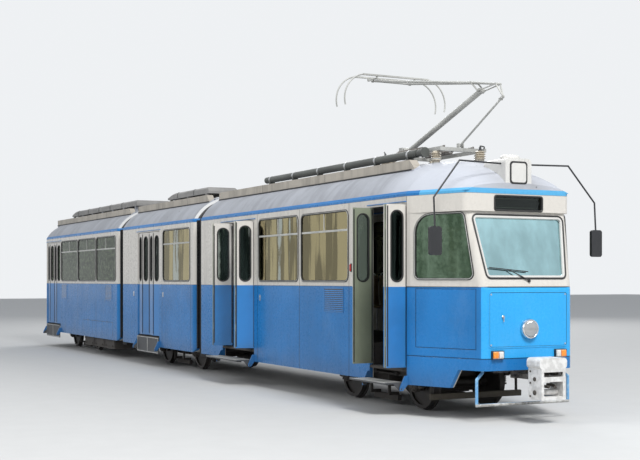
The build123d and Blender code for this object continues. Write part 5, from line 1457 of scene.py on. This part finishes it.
def stood(name, data, place, way):
    """A lamp or a camera at its place, turned to look along a direction."""
    holder = bpy.data.objects.new(name, data)
    holder.location = place
    holder.rotation_mode = "QUATERNION"
    holder.rotation_quaternion = Vector(way).to_track_quat("-Z", "Y")
    bpy.context.scene.collection.objects.link(holder)
    return holder


class TRAM_OT_make_stage(bpy.types.Operator):
    """Set up the floor, the lights, the backdrop and the camera"""

    bl_idname = "tram.make_stage"
    bl_label = "Make the Stage"

    def execute(self, context):
        stage = context.scene.stage_settings
        scene = context.scene
        scene.view_settings.view_transform = "Standard"

        mesh = bpy.data.meshes.new("floor")
        mesh.from_pydata([(*corner, 0) for corner in rectangle(-90, 90, -90, 90)], [], [(0, 1, 2, 3)])
        floor = bpy.data.objects.new("floor", mesh)
        scene.collection.objects.link(floor)
        s = Shader("pale_floor")
        tone = s.mix(s.noise(2.5, 6.0, 0.6), (0.50, 0.50, 0.49), (0.55, 0.55, 0.54))
        mesh.materials.append(s.paint(Base_Color=tone, Roughness=0.85))

        scene.world = bpy.data.worlds.new("soft_surround")
        sky = Shader(scene.world)
        rays = sky.node("ShaderNodeLightPath").socket.node.outputs
        kinds = ("Is Camera Ray", "Is Glossy Ray", "Is Transmission Ray")
        seen = reduce(Wire.larger, (Wire(sky, rays[kind]) for kind in kinds))
        light = sky.node("ShaderNodeBackground", {"Color": (0.84, 0.89, 0.97, 1.0), "Strength": 0.55})
        backdrop = sky.node("ShaderNodeBackground", {"Color": (0.86, 0.88, 0.90, 1.0), "Strength": 1.0})
        both = sky.node("ShaderNodeMixShader", {0: seen, 1: light, 2: backdrop})
        sky.output(both, "ShaderNodeOutputWorld")

        aim = Vector((7.0, 0.0, 1.6))
        for name, place, size, watts in LAMPS:
            lamp = bpy.data.lights.new(name, "AREA")
            lamp.shape = "DISK"
            lamp.size = size
            lamp.energy = watts
            stood(name, lamp, place, aim - Vector(place))

        camera = bpy.data.cameras.new("photo_camera")
        camera.sensor_width = 36.0
        camera.lens = stage.focal_length
        camera.shift_y = stage.rise
        camera.clip_end = 400.0
        scene.camera = stood("photo_camera", camera, stage.camera_place, stage.camera_way)
        return {"FINISHED"}


class TRAM_PT_fittings(bpy.types.Panel):
    """Lists the tram's finishes and fittings"""

    bl_idname = "TRAM_PT_fittings"
    bl_label = "Tram"
    bl_space_type = "VIEW_3D"
    bl_region_type = "UI"
    bl_category = "Tram"

    def draw(self, context):
        for name in GROUPS:
            group = getattr(context.scene, name)
            for key in group.bl_rna.properties.keys():
                if key not in ("rna_type", "name"):
                    self.layout.prop(group, key)
        for operator in OPERATORS:
            self.layout.operator(operator.bl_idname)


OPERATORS = (
    TRAM_OT_dress_construction, TRAM_OT_seal_side_windows, TRAM_OT_seal_end_windows, TRAM_OT_fit_door_leaves,
    TRAM_OT_fit_body_trim, TRAM_OT_fit_front_panel, TRAM_OT_fit_lamps, TRAM_OT_fit_signs_and_mirrors,
    TRAM_OT_make_bellows, TRAM_OT_fit_roof, TRAM_OT_fit_bogies, TRAM_OT_fit_couplers, TRAM_OT_furnish_saloon,
    TRAM_OT_fit_cab, TRAM_OT_fit_steps_and_boxes, TRAM_OT_make_stage,
)
GROUPS = {"tram_paint": TramPaint, "tram_sizes": TramSizes, "stage_settings": StageSettings}
CLASSES = (*GROUPS.values(), *OPERATORS, TRAM_PT_fittings)


def register():
    """Adds the classes, and their settings to every scene."""
    for cls in CLASSES:
        bpy.utils.register_class(cls)
    for name, group in GROUPS.items():
        setattr(bpy.types.Scene, name, PointerProperty(type=group))


def unregister():
    """Takes the settings and the classes out again."""
    for name in GROUPS:
        delattr(bpy.types.Scene, name)
    for cls in reversed(CLASSES):
        bpy.utils.unregister_class(cls)


def main():
    """Makes everything in order."""
    register()
    for operator in OPERATORS:
        group, name = operator.bl_idname.split(".")
        getattr(getattr(bpy.ops, group), name)()


if __name__ == "__main__":
    main()
